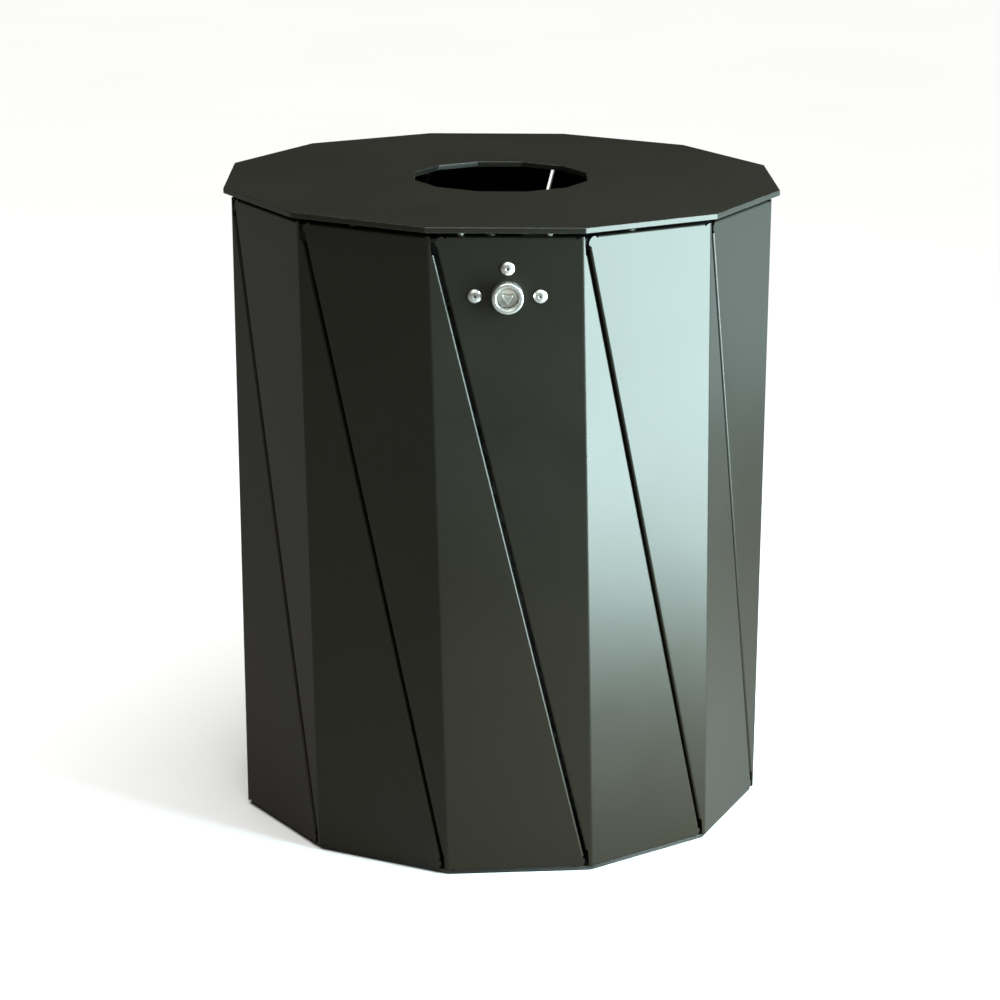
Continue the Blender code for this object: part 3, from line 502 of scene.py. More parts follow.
def plated_steel(name, clean, dull, gloss_low, gloss_high):
    """Bright plating: two close tones in soft clouds, faint handling streaks and a shallow unevenness."""
    material, tree, shader = blank_material(name)
    place = add(tree, "ShaderNodeTexCoord").outputs["Object"]
    clouds = noise(tree, place, 320.0, 5.0, 0.6)
    stretched = add(tree, "ShaderNodeMapping", {"Vector": place, "Scale": (900.0, 900.0, 90.0)})
    rubbed = noise(tree, stretched.outputs[0], 1.0, 3.0)
    tone = mix_colour(tree, clouds.outputs["Fac"], (*clean, 1), (*dull, 1))
    tree.links.new(tone, shader.inputs["Base Color"])
    rough = spread(tree, rubbed.outputs["Fac"], gloss_low, gloss_high, 0.3, 0.7)
    tree.links.new(rough, shader.inputs["Roughness"])
    tree.links.new(bump(tree, clouds.outputs["Fac"], 0.25, 0.0001), shader.inputs["Normal"])
    shader.inputs["Metallic"].default_value = 1.0
    return material


bright_zinc = plated_steel(
    "bright_zinc", (0.80, 0.79, 0.75), (0.66, 0.66, 0.61), gloss_low=0.28, gloss_high=0.46,
)


def crisp(mesh, degrees):
    """Smooth shading, with edges sharper than this left crisp."""
    mesh.shade_smooth()
    mesh.set_sharp_from_angle(angle=math.radians(degrees))
    return mesh


def turned_mesh(name, profile, steps, closed=False):
    """A lathe-turned shape: its half profile (radius, height) spun round Z."""
    work = bmesh.new()
    columns = []
    for radius, height in profile:
        if radius < 1e-7:
            columns.append([work.verts.new((0, 0, height))])
        else:
            columns.append([work.verts.new((x, y, height)) for x, y in circle_points(steps, radius)])
    following = columns[1:] + (columns[:1] if closed else [])
    for column, after in zip(columns, following):
        for i in range(steps):
            j = (i + 1) % steps
            corners = (
                column[i % len(column)], column[j % len(column)],
                after[j % len(after)], after[i % len(after)],
            )
            corners = list(dict.fromkeys(corners))
            if len(corners) > 2:
                work.faces.new(corners)
    bmesh.ops.recalc_face_normals(work, faces=work.faces)
    return crisp(mesh_from(work, name), 38)


def arc(radius, start_degrees, end_degrees, steps, centre=(0.0, 0.0)):
    """Points of a circular arc, as (radius, height) pairs of a profile."""
    swing = end_degrees - start_degrees
    turns = [math.radians(start_degrees + swing * i / steps) for i in range(steps + 1)]
    return [(centre[0] + radius * math.cos(a), centre[1] + radius * math.sin(a)) for a in turns]


def facing_front(name, mesh, material, seat):
    piece = show(name, mesh, material, seat)
    piece.rotation_euler = turned_to_front.to_euler()
    return piece


THREAD_PITCH = 0.0010
THREAD_DEPTH = 0.0006
THREAD_START = 0.0035
THREAD_TURNS = 11
thread = []
for i in range(THREAD_TURNS):
    crest = -THREAD_START - i * THREAD_PITCH
    thread += [(LOCK_BODY_RADIUS, crest), (LOCK_BODY_RADIUS - THREAD_DEPTH, crest - THREAD_PITCH / 2)]
head_profile = [
    (LOCK_BODY_RADIUS, 0.0003), (LOCK_HEAD_RADIUS - 0.0003, 0.0003), (LOCK_HEAD_RADIUS, 0.0006),
    *arc(0.0014, 0, 80, 7, (LOCK_HEAD_RADIUS - 0.0014, LOCK_HEAD_HEIGHT - 0.0014)),
    (0.0108, LOCK_HEAD_HEIGHT), *arc(0.0006, 100, 175, 4, (0.0104, LOCK_HEAD_HEIGHT - 0.0006)),
    (LOCK_WELL_RADIUS + 0.0002, LOCK_HEAD_HEIGHT - 0.0022), (LOCK_WELL_RADIUS, LOCK_WELL_FLOOR + 0.0004),
    (LOCK_WELL_RADIUS - 0.0004, LOCK_WELL_FLOOR), (SHAFT_RADIUS + 0.0003, LOCK_WELL_FLOOR),
    (SHAFT_RADIUS + 0.0003, -LOCK_BODY_LENGTH), (LOCK_BODY_RADIUS - THREAD_DEPTH, -LOCK_BODY_LENGTH),
    *thread[::-1],
]
head_mesh = turned_mesh("lock_head", head_profile, 96, closed=True)
lock_head = facing_front("lock_head", head_mesh, bright_zinc, lock_seat)
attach(lock_head, "shell")
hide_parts("lock_housing")

dial_radius = LOCK_WELL_RADIUS - 0.0004
dial_profile = [
    (0, 0.0058), (0.0062, 0.0058), (0.0066, 0.0060), (dial_radius - 0.0005, 0.0060), (dial_radius, 0.0055),
    (dial_radius, LOCK_WELL_FLOOR + 0.0003), (SHAFT_RADIUS, LOCK_WELL_FLOOR + 0.0003),
    (SHAFT_RADIUS, -SHAFT_LENGTH), (0.0037, -SHAFT_LENGTH), (0.0037, -0.0202),
    (0.0018, -0.0202), (0.0018, -0.0120), (0, -0.0120),
]
lock_dial = facing_front("lock_dial", turned_mesh("lock_dial", dial_profile, 80), bright_zinc, lock_seat)


def capped_mesh(work, name, rings, degrees):
    """A closed shape: rings of corners skinned one to the next, with a face on each end."""
    skin_rings(work, rings)
    work.faces.new(rings[0][::-1])
    work.faces.new(rings[-1])
    bmesh.ops.recalc_face_normals(work, faces=work.faces)
    return crisp(mesh_from(work, name), degrees)


def key_post_mesh():
    """The triangular post: rounded corners, a chamfered top and a small centre mark."""
    work = bmesh.new()
    corners = [Vector((x, y, 0)) for x, y in circle_points(3, KEY_RADIUS, -math.pi / 2)]
    outline = []
    for i, corner in enumerate(corners):
        outline += rounded_corner(corners[i - 1], corner, corners[(i + 1) % 3], KEY_CORNER, 5)
    levels = (
        (0.0050, 1.0), (KEY_TOP - 0.0007, 1.0), (KEY_TOP, 0.86), (KEY_TOP, 0.30), (KEY_TOP - 0.0012, 0.24),
    )
    rings = [
        [work.verts.new((p.x * share, p.y * share, height)) for p in outline] for height, share in levels
    ]
    return capped_mesh(work, "key_post", rings, 30)


key_post = facing_front("lock_key_post", key_post_mesh(), bright_zinc, lock_seat)
for piece in (lock_dial, key_post):
    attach(piece, "lock")
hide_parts("lock_driver")

# ---- Rivets ----
# Blind rivets in bright zinc-plated steel, three round the lock and four through the hinge: a low round head,
# the hole that its broken-off mandrel leaves, and a swelled end behind the sheet.
RIVET_SHANK = 0.0024
RIVET_HOLE = 0.0014
RIVET_DEPTH = 0.0045  # down to the piece of mandrel left in it
RIVET_TAIL = 0.0042
RIVET_CROWN = 0.41  # of the head's radius


def blind_rivet_mesh(name, head_radius, crown, grip):
    head = [(head_radius * math.cos(a), crown * math.sin(a)) for a in
            (math.radians(degrees) for degrees in (74, 64, 52, 40, 28, 16, 6))]
    profile = [
        (0, -RIVET_DEPTH), (0.0009, -RIVET_DEPTH - 0.0002), (RIVET_HOLE, -RIVET_DEPTH),
        (RIVET_HOLE, crown - 0.0003), (RIVET_HOLE + 0.0002, crown - 0.0001), *head, (head_radius, 0.0001),
        (head_radius - 0.0002, 0.0), (RIVET_SHANK, 0.0), (RIVET_SHANK, -grip), (0.0033, -grip - 0.0004),
        (0.0036, -grip - 0.0014), (0.0034, -grip - 0.0030), (0.0026, -grip - 0.0040),
        (0.0016, -grip - RIVET_TAIL), (0, -grip - RIVET_TAIL),
    ]
    return turned_mesh(name, profile, 40)


for node in (*LOCK_RIVETS, *HINGE_RIVETS):
    low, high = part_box(node)
    at_front = node in LOCK_RIVETS
    head_radius = (high.x - low.x) / 2
    crown = head_radius * RIVET_CROWN
    grip = (high.y - low.y) - crown - RIVET_TAIL
    head_top = low.y if at_front else high.y
    seat = Vector((middle(node).x, head_top + (crown if at_front else -crown), middle(node).z))
    rivet = show(node + "_blind", blind_rivet_mesh(node, head_radius, crown, grip), bright_zinc, seat)
    rivet.rotation_euler = (turned_to_front if at_front else turned_to_back).to_euler()
    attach(rivet, "shell")
    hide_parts(node)

# ---- Lock cam, nut, backing plate and catch ----
# Stamped and plated behind the front panel: the cam on the lock's shaft, the nut and the coated backing plate
# that the lock clamps, and the bent catch that hangs from the lid with two screws.
# The fifth colour, here too, is the painted reflection of a warm floor, a brown tint low on the pieces.
frame_black, _ = powder_coating(
    "frame_black", (0.017, 0.017, 0.016), (0.024, 0.024, 0.023), (0.06, 0.06, 0.058),
    (0.030, 0.025, 0.019), gloss=0.55, grain=700.0, wear=0.3,
)


def finish_stamped(node, material, width):
    """A CAD piece that keeps its shape: seams of its mesh joined, edges broken, and its real finish."""
    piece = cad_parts[node]
    joined = piece.modifiers.new("joined", "WELD")
    joined.merge_threshold = 0.00001
    edges = piece.modifiers.new("broken_edges", "BEVEL")
    edges.width = width
    edges.segments = 2
    edges.limit_method = "ANGLE"
    edges.angle_limit = math.radians(35)
    flats = piece.modifiers.new("flat_faces", "WEIGHTED_NORMAL")
    flats.weight = 100
    piece.data.materials.clear()
    piece.data.materials.append(material)


for node, material, width in (
    ("lock_cam", bright_zinc, 0.0004), ("lock_nut", bright_zinc, 0.0005), ("lock_plate", frame_black, 0.0004),
    ("lid_catch", bright_zinc, 0.0004), ("hinge_shell_leaf", bright_zinc, 0.0003),
    ("hinge_lid_leaf", bright_zinc, 0.0003), ("hinge_pin", bright_zinc, 0.0002),
):
    finish_stamped(node, material, width)

# ---- Screws ----
# Low round-headed screws with a hexagon socket, zinc plated: six up into the lid, one on the cam, and twelve
# at the top and twelve at the foot that hold the panels' flanges to the ring and the base plate.
SOCKET_RADIUS = 0.0016
SCREW_STEPS = 36


def screw_mesh(name, head_radius, head_height, shank_radius, shank_length):
    """A button-head screw along Z, its seat at zero and its shank below."""
    work = bmesh.new()

    def ring(radius, height, hexagon=False):
        points = []
        for i in range(SCREW_STEPS):
            a = math.tau * i / SCREW_STEPS
            reach = radius
            if hexagon:
                reach = radius * math.cos(math.pi / 6) / math.cos((a % (math.pi / 3)) - math.pi / 6)
            points.append(work.verts.new((reach * math.cos(a), reach * math.sin(a), height)))
        return points

    rings = [
        ring(shank_radius * 0.7, -shank_length), ring(shank_radius, -shank_length + 0.0006),
        ring(shank_radius, 0.0), ring(head_radius - 0.0002, 0.0), ring(head_radius, 0.0003),
        *[ring(head_radius * math.cos(a), head_height * math.sin(a)) for a in
          (math.radians(degrees) for degrees in (20, 38, 54, 64))],
        ring(SOCKET_RADIUS + 0.0002, head_height * 0.95, True), ring(SOCKET_RADIUS, head_height * 0.88, True),
        ring(SOCKET_RADIUS, head_height * 0.35, True), ring(0.0003, head_height * 0.25),
    ]
    return capped_mesh(work, name, rings, 40)


LID_SCREW_HEAD = 0.0018
lid_screw_mesh = screw_mesh(
    "lid_screw", head_radius=0.0042, head_height=LID_SCREW_HEAD, shank_radius=0.0018, shank_length=0.0050,
)
for node in ("catch_screw_1", "catch_screw_2", *[f"hinge_screw_{i}" for i in (1, 2, 3, 4)]):
    low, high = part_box(node)
    seat = Vector((middle(node).x, middle(node).y, low.z + LID_SCREW_HEAD))
    screw = show(node + "_socket", lid_screw_mesh, bright_zinc, seat, (math.pi, 0, 0))
    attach(screw, "lid")
    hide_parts(node)

CAM_SCREW_HEAD = 0.0030
cam_screw_mesh = screw_mesh(
    "cam_screw", head_radius=0.0055, head_height=CAM_SCREW_HEAD, shank_radius=0.0015, shank_length=0.0078,
)
cam_screw_seat = Vector((lock_seat.x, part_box("cam_screw")[1].y - CAM_SCREW_HEAD, lock_seat.z))
cam_screw = show(
    "cam_screw_socket", cam_screw_mesh, bright_zinc, cam_screw_seat, turned_to_back.to_euler(),
)
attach(cam_screw, "lock")
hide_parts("cam_screw")

FLANGE_SCREW_CIRCLE = 0.2335
FLANGE_SCREW_SHIFT = math.radians(-3)
FLANGE_SCREW_LIFT = 0.0001
flange_screw_mesh = screw_mesh(
    "flange_screw", head_radius=0.0040, head_height=0.0022, shank_radius=0.0019, shank_length=0.0052,
)
for number in range(SIDES):
    for end, azimuth, height in (
        ("top", number * SECTOR + FLANGE_SCREW_SHIFT, SHELL_TOP),
        ("foot", (number + 1) * SECTOR + TWIST, SHELL_FOOT + SHEET),
    ):
        seat = (
            FLANGE_SCREW_CIRCLE * math.sin(azimuth), -FLANGE_SCREW_CIRCLE * math.cos(azimuth),
            height + FLANGE_SCREW_LIFT,
        )
        name = f"{end}_flange_screw_{number + 1:02d}"
        screw = show(name, flange_screw_mesh, bright_zinc, seat, (0, 0, azimuth))
        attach(screw, "shell")

# ---- Frame ----
# The skeleton inside the shell: a ring and a base plate of 4 mm steel joined by four square tubes, welded all
# round each tube's ends and coated matt black.
for node in ("top_ring", "base_plate", "post_1", "post_2", "post_3", "post_4"):
    finish_stamped(node, frame_black, 0.0005)

POST_HALF = 0.010
POST_CORNER = 0.0024
WELD_GAP = 0.0003
WELD_RADIUS = 0.0022
WELD_RIPPLE = 0.0016
WELD_SIDES = 8
WELD_STEPS = 20  # along each side of a tube
WELD_HEIGHT = 0.0004  # of its middle, from the tube's end


def weld_mesh(name):
    """A fillet weld round a square tube: overlapping ripples of laid metal, its line on the tube's corner."""
    work = bmesh.new()
    half = POST_HALF + WELD_GAP
    corners = [Vector((x, y, 0)) for x, y in ((half, half), (-half, half), (-half, -half), (half, -half))]
    outline = []
    for i, corner in enumerate(corners):
        before, after = corners[i - 1], corners[(i + 1) % 4]
        outline += rounded_corner(before, corner, after, POST_CORNER, 6)
        run_start = outline[-1]
        run_end = rounded_corner(corner, after, corners[(i + 2) % 4], POST_CORNER, 6)[0]
        outline += [run_start.lerp(run_end, k / WELD_STEPS) for k in range(1, WELD_STEPS)]
    travelled = 0.0
    rings = []
    for i, spot in enumerate(outline):
        following = outline[(i + 1) % len(outline)]
        outward = (following - outline[i - 1]).normalized().cross(Vector((0, 0, 1)))
        swell = WELD_RADIUS * (0.86 + 0.22 * abs(math.sin(math.pi * travelled / WELD_RIPPLE)))
        travelled += (following - spot).length
        ring = []
        for k in range(WELD_SIDES):
            a = math.tau * k / WELD_SIDES
            rise = Vector((0, 0, swell * math.sin(a)))
            ring.append(work.verts.new(spot + outward * swell * math.cos(a) + rise))
        rings.append(ring)
    skin_rings(work, rings + rings[:1])
    bmesh.ops.recalc_face_normals(work, faces=work.faces)
    mesh = mesh_from(work, name)
    mesh.shade_smooth()
    return mesh


weld = weld_mesh("fillet_weld")
for number in (1, 2, 3, 4):
    post_low, post_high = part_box(f"post_{number}")
    axis = middle(f"post_{number}")
    for end, height in (("foot", post_low.z + WELD_HEIGHT), ("top", post_high.z - WELD_HEIGHT)):
        turn = (0, 0, math.atan2(axis.y, axis.x))
        bead = show(f"post_{number}_{end}_weld", weld, frame_black, (axis.x, axis.y, height), turn)
        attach(bead, "shell")

# ---- Lid pads ----
# Four small buttons of natural nylon, moulded with a rounded top edge. They sit on the panels' top flanges,
# and the closed lid rests on them, which leaves the narrow dark gap under it.


def natural_nylon():
    """Translucent off-white nylon, slightly cloudy, with the faint orange peel of its mould."""
    material, tree, shader = blank_material("natural_nylon")
    place = add(tree, "ShaderNodeTexCoord").outputs["Object"]
    cloud = noise(tree, place, 420.0, 4.0)
    tone = mix_colour(tree, cloud.outputs["Fac"], (0.36, 0.35, 0.30, 1), (0.28, 0.27, 0.23, 1))
    tree.links.new(tone, shader.inputs["Base Color"])
    tree.links.new(spread(tree, cloud.outputs["Fac"], 0.38, 0.56), shader.inputs["Roughness"])
    tree.links.new(bump(tree, cloud.outputs["Fac"], 0.2, 0.0002), shader.inputs["Normal"])
    shader.inputs["Subsurface Weight"].default_value = 0.15
    shader.inputs["Subsurface Radius"].default_value = (0.002, 0.002, 0.0015)
    return material


nylon = natural_nylon()
pad_low, pad_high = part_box("lid_pad_1")
pad_height = pad_high.z - pad_low.z
pad_radius = (pad_high.x - pad_low.x) / 2
pad_mesh = turned_mesh("lid_pad", [
    (0, pad_height - 0.0002), (pad_radius * 0.45, pad_height),
    *arc(0.0009, 85, 0, 6, (pad_radius - 0.0009, pad_height - 0.0009)), (pad_radius, 0.0002),
    (pad_radius - 0.0002, 0), (0, 0),
], 48)
for number in (1, 2, 3, 4):
    node = f"lid_pad_{number}"
    seat = Vector((middle(node).x, middle(node).y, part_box(node)[0].z))
    pad = show(f"nylon_pad_{number}", pad_mesh, nylon, seat)
    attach(pad, "shell")
    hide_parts(node)

# ---- Liner ----
# The lift-out bucket of hot-dip galvanised sheet: a rolled rim, two swaged ribs, a floor set above the foot,
# a lapped side seam, and four welded eyes for the two drop handles.
LINER_WALL = 0.0012
RIM_BEAD = 0.0032
RIM_OVERHANG = 0.0005
LINER_FLOOR_RISE = 0.0129
liner_low, liner_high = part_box("liner")
liner_radius = liner_high.x - RIM_BEAD - RIM_OVERHANG
rim_z = liner_high.z
foot_z = liner_low.z
floor_z = foot_z + LINER_FLOOR_RISE


def galvanised_sheet():
    """Zinc spangle: crystals a few millimetres across, each with its own grey and its own sheen."""
    material, tree, shader = blank_material("galvanised_sheet")
    place = add(tree, "ShaderNodeTexCoord").outputs["Object"]
    warp = noise(tree, place, 60.0, 3.0)
    bent = add(tree, "ShaderNodeVectorMath", {
        0: warp.outputs["Color"], 1: (0.012, 0.012, 0.012),
    }, operation="MULTIPLY")
    moved = add(tree, "ShaderNodeVectorMath", {0: place, 1: bent.outputs[0]}, operation="ADD")
    crystals = add(tree, "ShaderNodeTexVoronoi", {"Vector": moved.outputs[0], "Scale": 110.0})
    shade = add(tree, "ShaderNodeSeparateColor", {0: crystals.outputs["Color"]})
    tone = mix_colour(tree, shade.outputs[0], (0.24, 0.25, 0.25, 1), (0.40, 0.41, 0.41, 1))
    tree.links.new(tone, shader.inputs["Base Color"])
    tree.links.new(spread(tree, shade.outputs[1], 0.46, 0.66), shader.inputs["Roughness"])
    tree.links.new(bump(tree, crystals.outputs["Distance"], 0.15, 0.0004), shader.inputs["Normal"])
    shader.inputs["Metallic"].default_value = 1.0
    return material


galvanised = galvanised_sheet()
RIB_DEPTH = 0.0015
RIB_HALF = 0.006
RIB_INSET = 0.110  # from the rim and from the foot
rib_heights = (rim_z - RIB_INSET, foot_z + RIB_INSET)


def wall_points(radius, start, end, steps=4):
    """A stretch of the liner's wall from one height to another, swelling outwards at the ribs on its way."""
    heights = []
    for rib in rib_heights:
        heights += [rib + RIB_HALF * (k / steps) for k in range(-steps, steps + 1)]
    heights = sorted((h for h in heights if min(start, end) < h < max(start, end)), reverse=start > end)
    swollen = []
    for height in heights:
        near = min(abs(height - rib) for rib in rib_heights) / RIB_HALF
        swollen.append((radius + RIB_DEPTH * 0.5 * (1 + math.cos(math.pi * near)), height))
    return [(radius, start), *swollen, (radius, end)]


bore = liner_radius - LINER_WALL
bead_centre = (liner_radius + RIM_OVERHANG, rim_z - RIM_BEAD)
liner_profile = [
    (0, floor_z), (bore - 0.006, floor_z), *arc(0.004, -90, 0, 5, (bore - 0.004, floor_z + 0.004)),
    *wall_points(bore, floor_z + 0.0045, bead_centre[1]), *arc(RIM_BEAD, 150, -90, 20, bead_centre),
    (liner_radius, bead_centre[1] - RIM_BEAD - 0.0008),
    *wall_points(liner_radius, bead_centre[1] - RIM_BEAD - 0.0012, foot_z + 0.0005),
    (liner_radius - 0.0003, foot_z), (bore + 0.0003, foot_z), (bore, foot_z + 0.0005),
    (bore, floor_z - 0.0022), (bore - 0.002, floor_z - LINER_WALL), (0, floor_z - LINER_WALL),
]
bucket = show("liner_bucket", turned_mesh("liner_bucket", liner_profile, 144), galvanised)
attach(bucket, "liner")
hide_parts("liner")

SEAM_WIDTH = 0.012
SEAM_INSET = 0.002  # from the rolled rim and from the foot
SEAM_GAP = 0.0002
SEAM_STEPS = 6
seam_work = bmesh.new()
seam_top = bead_centre[1] - RIM_BEAD - SEAM_INSET
seam_levels = wall_points(liner_radius + SEAM_GAP, foot_z + SEAM_INSET, seam_top)
seam_columns = []
for k in range(SEAM_STEPS + 1):
    a = math.pi / 2 + (k / SEAM_STEPS - 0.5) * SEAM_WIDTH / liner_radius
    lift = LINER_WALL * (0.15 if k in (0, SEAM_STEPS) else 1.0)
    seam_columns.append([
        seam_work.verts.new(((r + lift) * math.cos(a), (r + lift) * math.sin(a), z)) for r, z in seam_levels
    ])
for column, after in zip(seam_columns, seam_columns[1:]):
    for i in range(len(seam_levels) - 1):
        seam_work.faces.new((column[i], after[i], after[i + 1], column[i + 1]))
seam = show("liner_seam", mesh_from(seam_work, "liner_seam"), galvanised)
lap = seam.modifiers.new("lap", "SOLIDIFY")
lap.thickness = LINER_WALL
lap.offset = -1
settle(seam)
crisp(seam.data, 40)
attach(seam, "liner")

# ---- Liner handles ----
# Two drop handles of 5 mm galvanised wire, each bent to a flat U with turned-out ends. The ends hang in eyes
# that are folded from strap and welded to the liner's wall.
HANDLE_WIRE = 0.0025
HANDLE_LEG = 0.0402
EYE_Y = 0.050
EYE_HALF_LENGTH = 0.006
EYE_RADIUS = 0.0050
EYE_BORE = 0.0029
EYE_REACH = 0.0072  # from the wire's axis back to the wall
EYE_EDGE = 0.0005


def eye_mesh():
    """One eye along Y: a rounded strap round the wire, its two legs run back to the liner's wall."""
    work = bmesh.new()
    outer = [(EYE_REACH, EYE_RADIUS), *arc(EYE_RADIUS, 90, 270, 14), (EYE_REACH, -EYE_RADIUS)]
    inner = []
    for x, z in outer:
        angle = math.atan2(z, x)
        inner.append((EYE_BORE * math.cos(angle), EYE_BORE * math.sin(angle)))
    (outer_a, inner_a), (outer_b, inner_b) = (
        [[work.verts.new((x, y, z)) for x, z in outline] for outline in (outer, inner)]
        for y in (-EYE_HALF_LENGTH, EYE_HALF_LENGTH)
    )
    count = len(outer)
    for i in range(count):
        j = (i + 1) % count
        work.faces.new((outer_a[i], outer_a[j], outer_b[j], outer_b[i]))
        work.faces.new((inner_a[i], inner_b[i], inner_b[j], inner_a[j]))
        work.faces.new((outer_a[i], inner_a[i], inner_a[j], outer_a[j]))
        work.faces.new((outer_b[i], outer_b[j], inner_b[j], inner_b[i]))
    bmesh.ops.recalc_face_normals(work, faces=work.faces)
    return mesh_from(work, "handle_eye")


def wire_mesh(name, route, radius, sides=20):
    """Round wire along a route, its two ends rounded off."""
    work = bmesh.new()
    first = (route[1] - route[0]).normalized()
    last = (route[-1] - route[-2]).normalized()
    rounding = ((0.0, 0.55), (0.25, 0.88), (0.6, 1.0))
    stations = [(route[0] + first * radius * back, share) for back, share in rounding]
    stations += [(point, 1.0) for point in route[1:-1]]
    stations += [(route[-1] - last * radius * back, share) for back, share in rounding[::-1]]
    normal = Vector((1, 0, 0))
    rings = []
    for i, (point, share) in enumerate(stations):
        ahead = stations[min(i + 1, len(stations) - 1)][0]
        behind = stations[max(i - 1, 0)][0]
        tangent = (ahead - behind).normalized()
        side = tangent.cross(normal).normalized()
        ring = []
        for k in range(sides):
            a = math.tau * k / sides
            ring.append(work.verts.new(point + (normal * math.cos(a) + side * math.sin(a)) * radius * share))
        rings.append(ring)
    return capped_mesh(work, name, rings, 50)


def handle_route(pin_end, drop, crook=0.003, bend=0.008):
    """Half of the U from its turned-out end to its middle, then the mirrored half."""
    half = [Vector((0, pin_end, 0)), Vector((0, HANDLE_LEG + crook + 0.001, 0))]
    half += [Vector((0, HANDLE_LEG + crook * (1 - math.sin(a)), crook * (math.cos(a) - 1)))
             for a in (math.radians(15 * k) for k in range(7))]
    half += [Vector((0, HANDLE_LEG - bend * (1 - math.cos(a)), bend - drop - bend * math.sin(a)))
             for a in (math.radians(11.25 * k) for k in range(9))]
    return half + [Vector((0, -p.y, p.z)) for p in reversed(half)]


for side, node, body in ((-1, "liner_handle_left", "handle_left"), (1, "liner_handle_right", "handle_right")):
    low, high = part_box(node)
    axle = Vector((middle(node).x, 0, high.z - HANDLE_WIRE))
    route = handle_route(high.y, axle.z - low.z - HANDLE_WIRE)
    handle = show(node + "_wire", wire_mesh(node, route, HANDLE_WIRE), galvanised, axle)
    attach(handle, body)
    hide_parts(node)
    for end in (-1, 1):
        name = f"{'left' if side < 0 else 'right'}_eye_{'front' if end < 0 else 'rear'}"
        seat = axle + Vector((0, end * EYE_Y, 0))
        eye = show(name, eye_mesh(), galvanised, seat, (0, 0, 0 if side > 0 else math.pi))
        soft_edges(eye, EYE_EDGE)
        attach(eye, "liner")

# ---- Studio ----
# A plain pale floor and plain soft light: two cool boxes on the right, a neutral one high in front and a wide
# soft light from above. The floor and the surroundings are pale to the eye, and dimmer to all that they light
# and to the coats that mirror them.


def floor_material():
    """Pale to the eye, and a dimmer warm grey to the coats that mirror it."""
    material, tree, shader = blank_material("pale_floor")
    place = add(tree, "ShaderNodeTexCoord").outputs["Object"]
    cloud = noise(tree, place, 1.5, 3.0)
    tone = mix_colour(tree, cloud.outputs["Fac"], (0.80, 0.80, 0.79, 1), (0.84, 0.84, 0.83, 1))
    seen = add(tree, "ShaderNodeLightPath")
    tone = mix_colour(tree, seen.outputs["Is Camera Ray"], (0.25, 0.25, 0.235, 1), tone)
    tree.links.new(tone, shader.inputs["Base Color"])
    shader.inputs["Roughness"].default_value = 0.9
    shader.inputs["Specular IOR Level"].default_value = 0.1
    return material


FLOOR_REACH = 40.0
floor_work = bmesh.new()
bmesh.ops.create_grid(floor_work, x_segments=8, y_segments=8, size=FLOOR_REACH)
floor = show("floor", mesh_from(floor_work, "floor"), floor_material())


def area_light(name, place, aim, width, height, radiance, colour):
    """A soft box that shines evenly, sized by its radiance."""
    light = bpy.data.lights.new(name, "AREA")
    light.shape = "RECTANGLE"
    light.size = width
    light.size_y = height
    light.energy = radiance * math.pi * width * height
    light.color = colour
    box = bpy.data.objects.new(name, light)
    box.location = place
    box.rotation_euler = (Vector(aim) - Vector(place)).to_track_quat("-Z", "Y").to_euler()
    box.visible_camera = False
    bpy.context.scene.collection.objects.link(box)


def round_the_bin(azimuth_degrees, distance, height):
    a = math.radians(azimuth_degrees)
    return Vector((distance * math.sin(a), -distance * math.cos(a), height))


area_light(
    "window_right", round_the_bin(58, 0.85, 0.50), aim=(0.12, -0.20, 0.40), width=0.60, height=1.0,
    radiance=27.0, colour=(0.67, 0.91, 1.0),
)
area_light(
    "window_behind_right", round_the_bin(125, 1.30, 0.55), aim=(0, 0, 0.35), width=0.70, height=1.0,
    radiance=1.1, colour=(0.66, 0.94, 1.0),
)
area_light(
    "high_front", (-0.30, -1.70, 1.90), aim=(0, 0, 0.5), width=1.6, height=1.0,
    radiance=2.4, colour=(1.0, 0.98, 0.94),
)

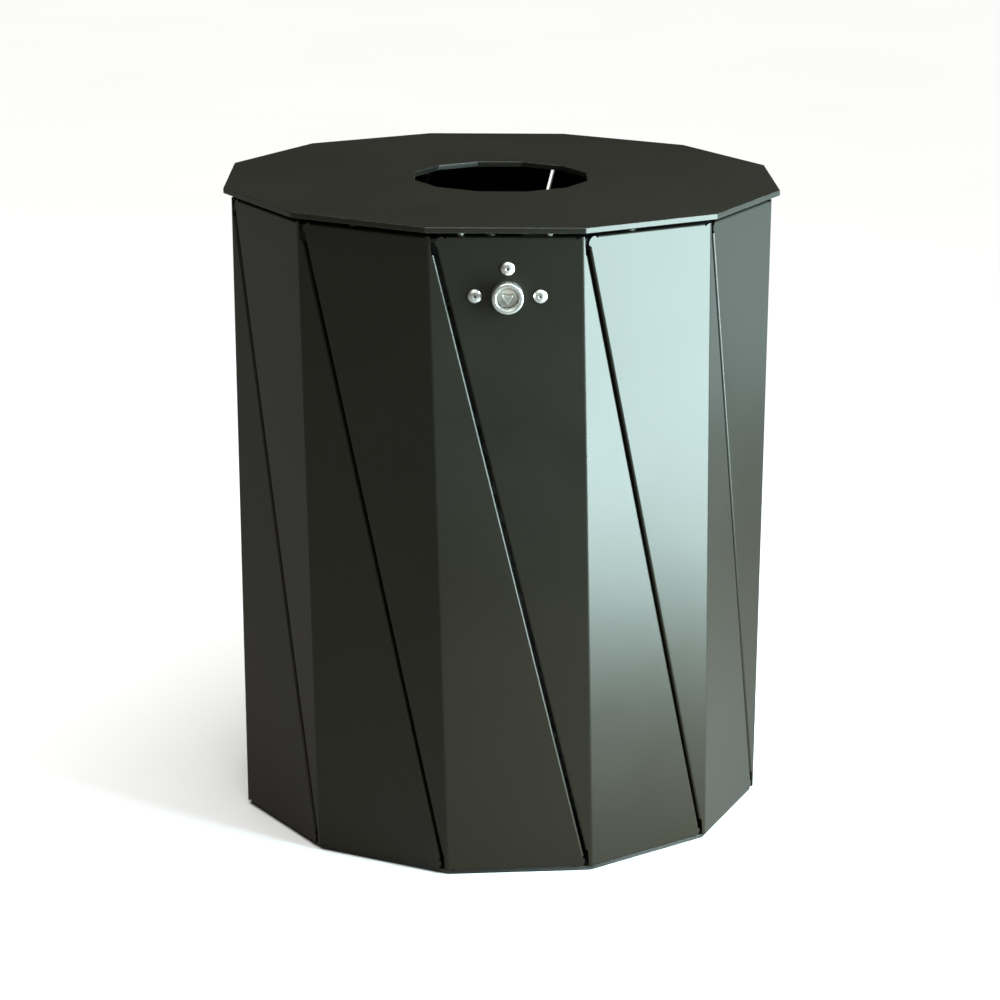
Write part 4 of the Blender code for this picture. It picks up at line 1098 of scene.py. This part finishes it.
ceiling = bpy.data.lights.new("ceiling", "SUN")
ceiling.energy = 3.6
ceiling.angle = 1.0
overhead = bpy.data.objects.new("ceiling", ceiling)
bpy.context.scene.collection.objects.link(overhead)

world = bpy.data.worlds.new("surroundings")
bpy.context.scene.world = world
world.use_nodes = True
sky = world.node_tree
dim = add(sky, "ShaderNodeBackground", {"Color": (1.0, 0.95, 0.84, 1), "Strength": 0.06})
pale = add(sky, "ShaderNodeBackground", {"Color": (0.93, 0.93, 0.92, 1), "Strength": 1.0})
seen = add(sky, "ShaderNodeLightPath")
blend = add(sky, "ShaderNodeMixShader", {
    0: seen.outputs["Is Camera Ray"], 1: dim.outputs[0], 2: pale.outputs[0],
})
sky.links.new(blend.outputs[0], sky.nodes["World Output"].inputs["Surface"])
bpy.context.scene.view_settings.view_transform = "Standard"

# ---- Camera ----
# At the eye of someone who stands a few steps back from the bin and a little above its lid, with a long
# lens. It looks down at the middle of the shell.
CAMERA_DISTANCE = 2.5988
CAMERA_AZIMUTH = math.radians(-1.02)
CAMERA_DOWN = math.radians(16.59)
CAMERA_ROLL = math.radians(0.42)
CAMERA_LENS = 98.78
AIM_SIDEWAYS = 0.0013
AIM_BELOW_MIDDLE = 0.0144
camera_data = bpy.data.cameras.new("camera")
camera_data.lens = CAMERA_LENS
camera_data.sensor_width = 36.0
camera = bpy.data.objects.new("camera", camera_data)
bpy.context.scene.collection.objects.link(camera)
target = Vector((AIM_SIDEWAYS, 0.0, (SHELL_TOP + SHELL_FOOT) / 2 - AIM_BELOW_MIDDLE))
back = Vector((
    math.sin(CAMERA_AZIMUTH) * math.cos(CAMERA_DOWN),
    -math.cos(CAMERA_AZIMUTH) * math.cos(CAMERA_DOWN),
    math.sin(CAMERA_DOWN),
))
camera.location = target + back * CAMERA_DISTANCE
camera.rotation_mode = "QUATERNION"
camera.rotation_quaternion = (-back).to_track_quat("-Z", "Y") @ Quaternion((0, 0, 1), CAMERA_ROLL)
bpy.context.scene.camera = camera
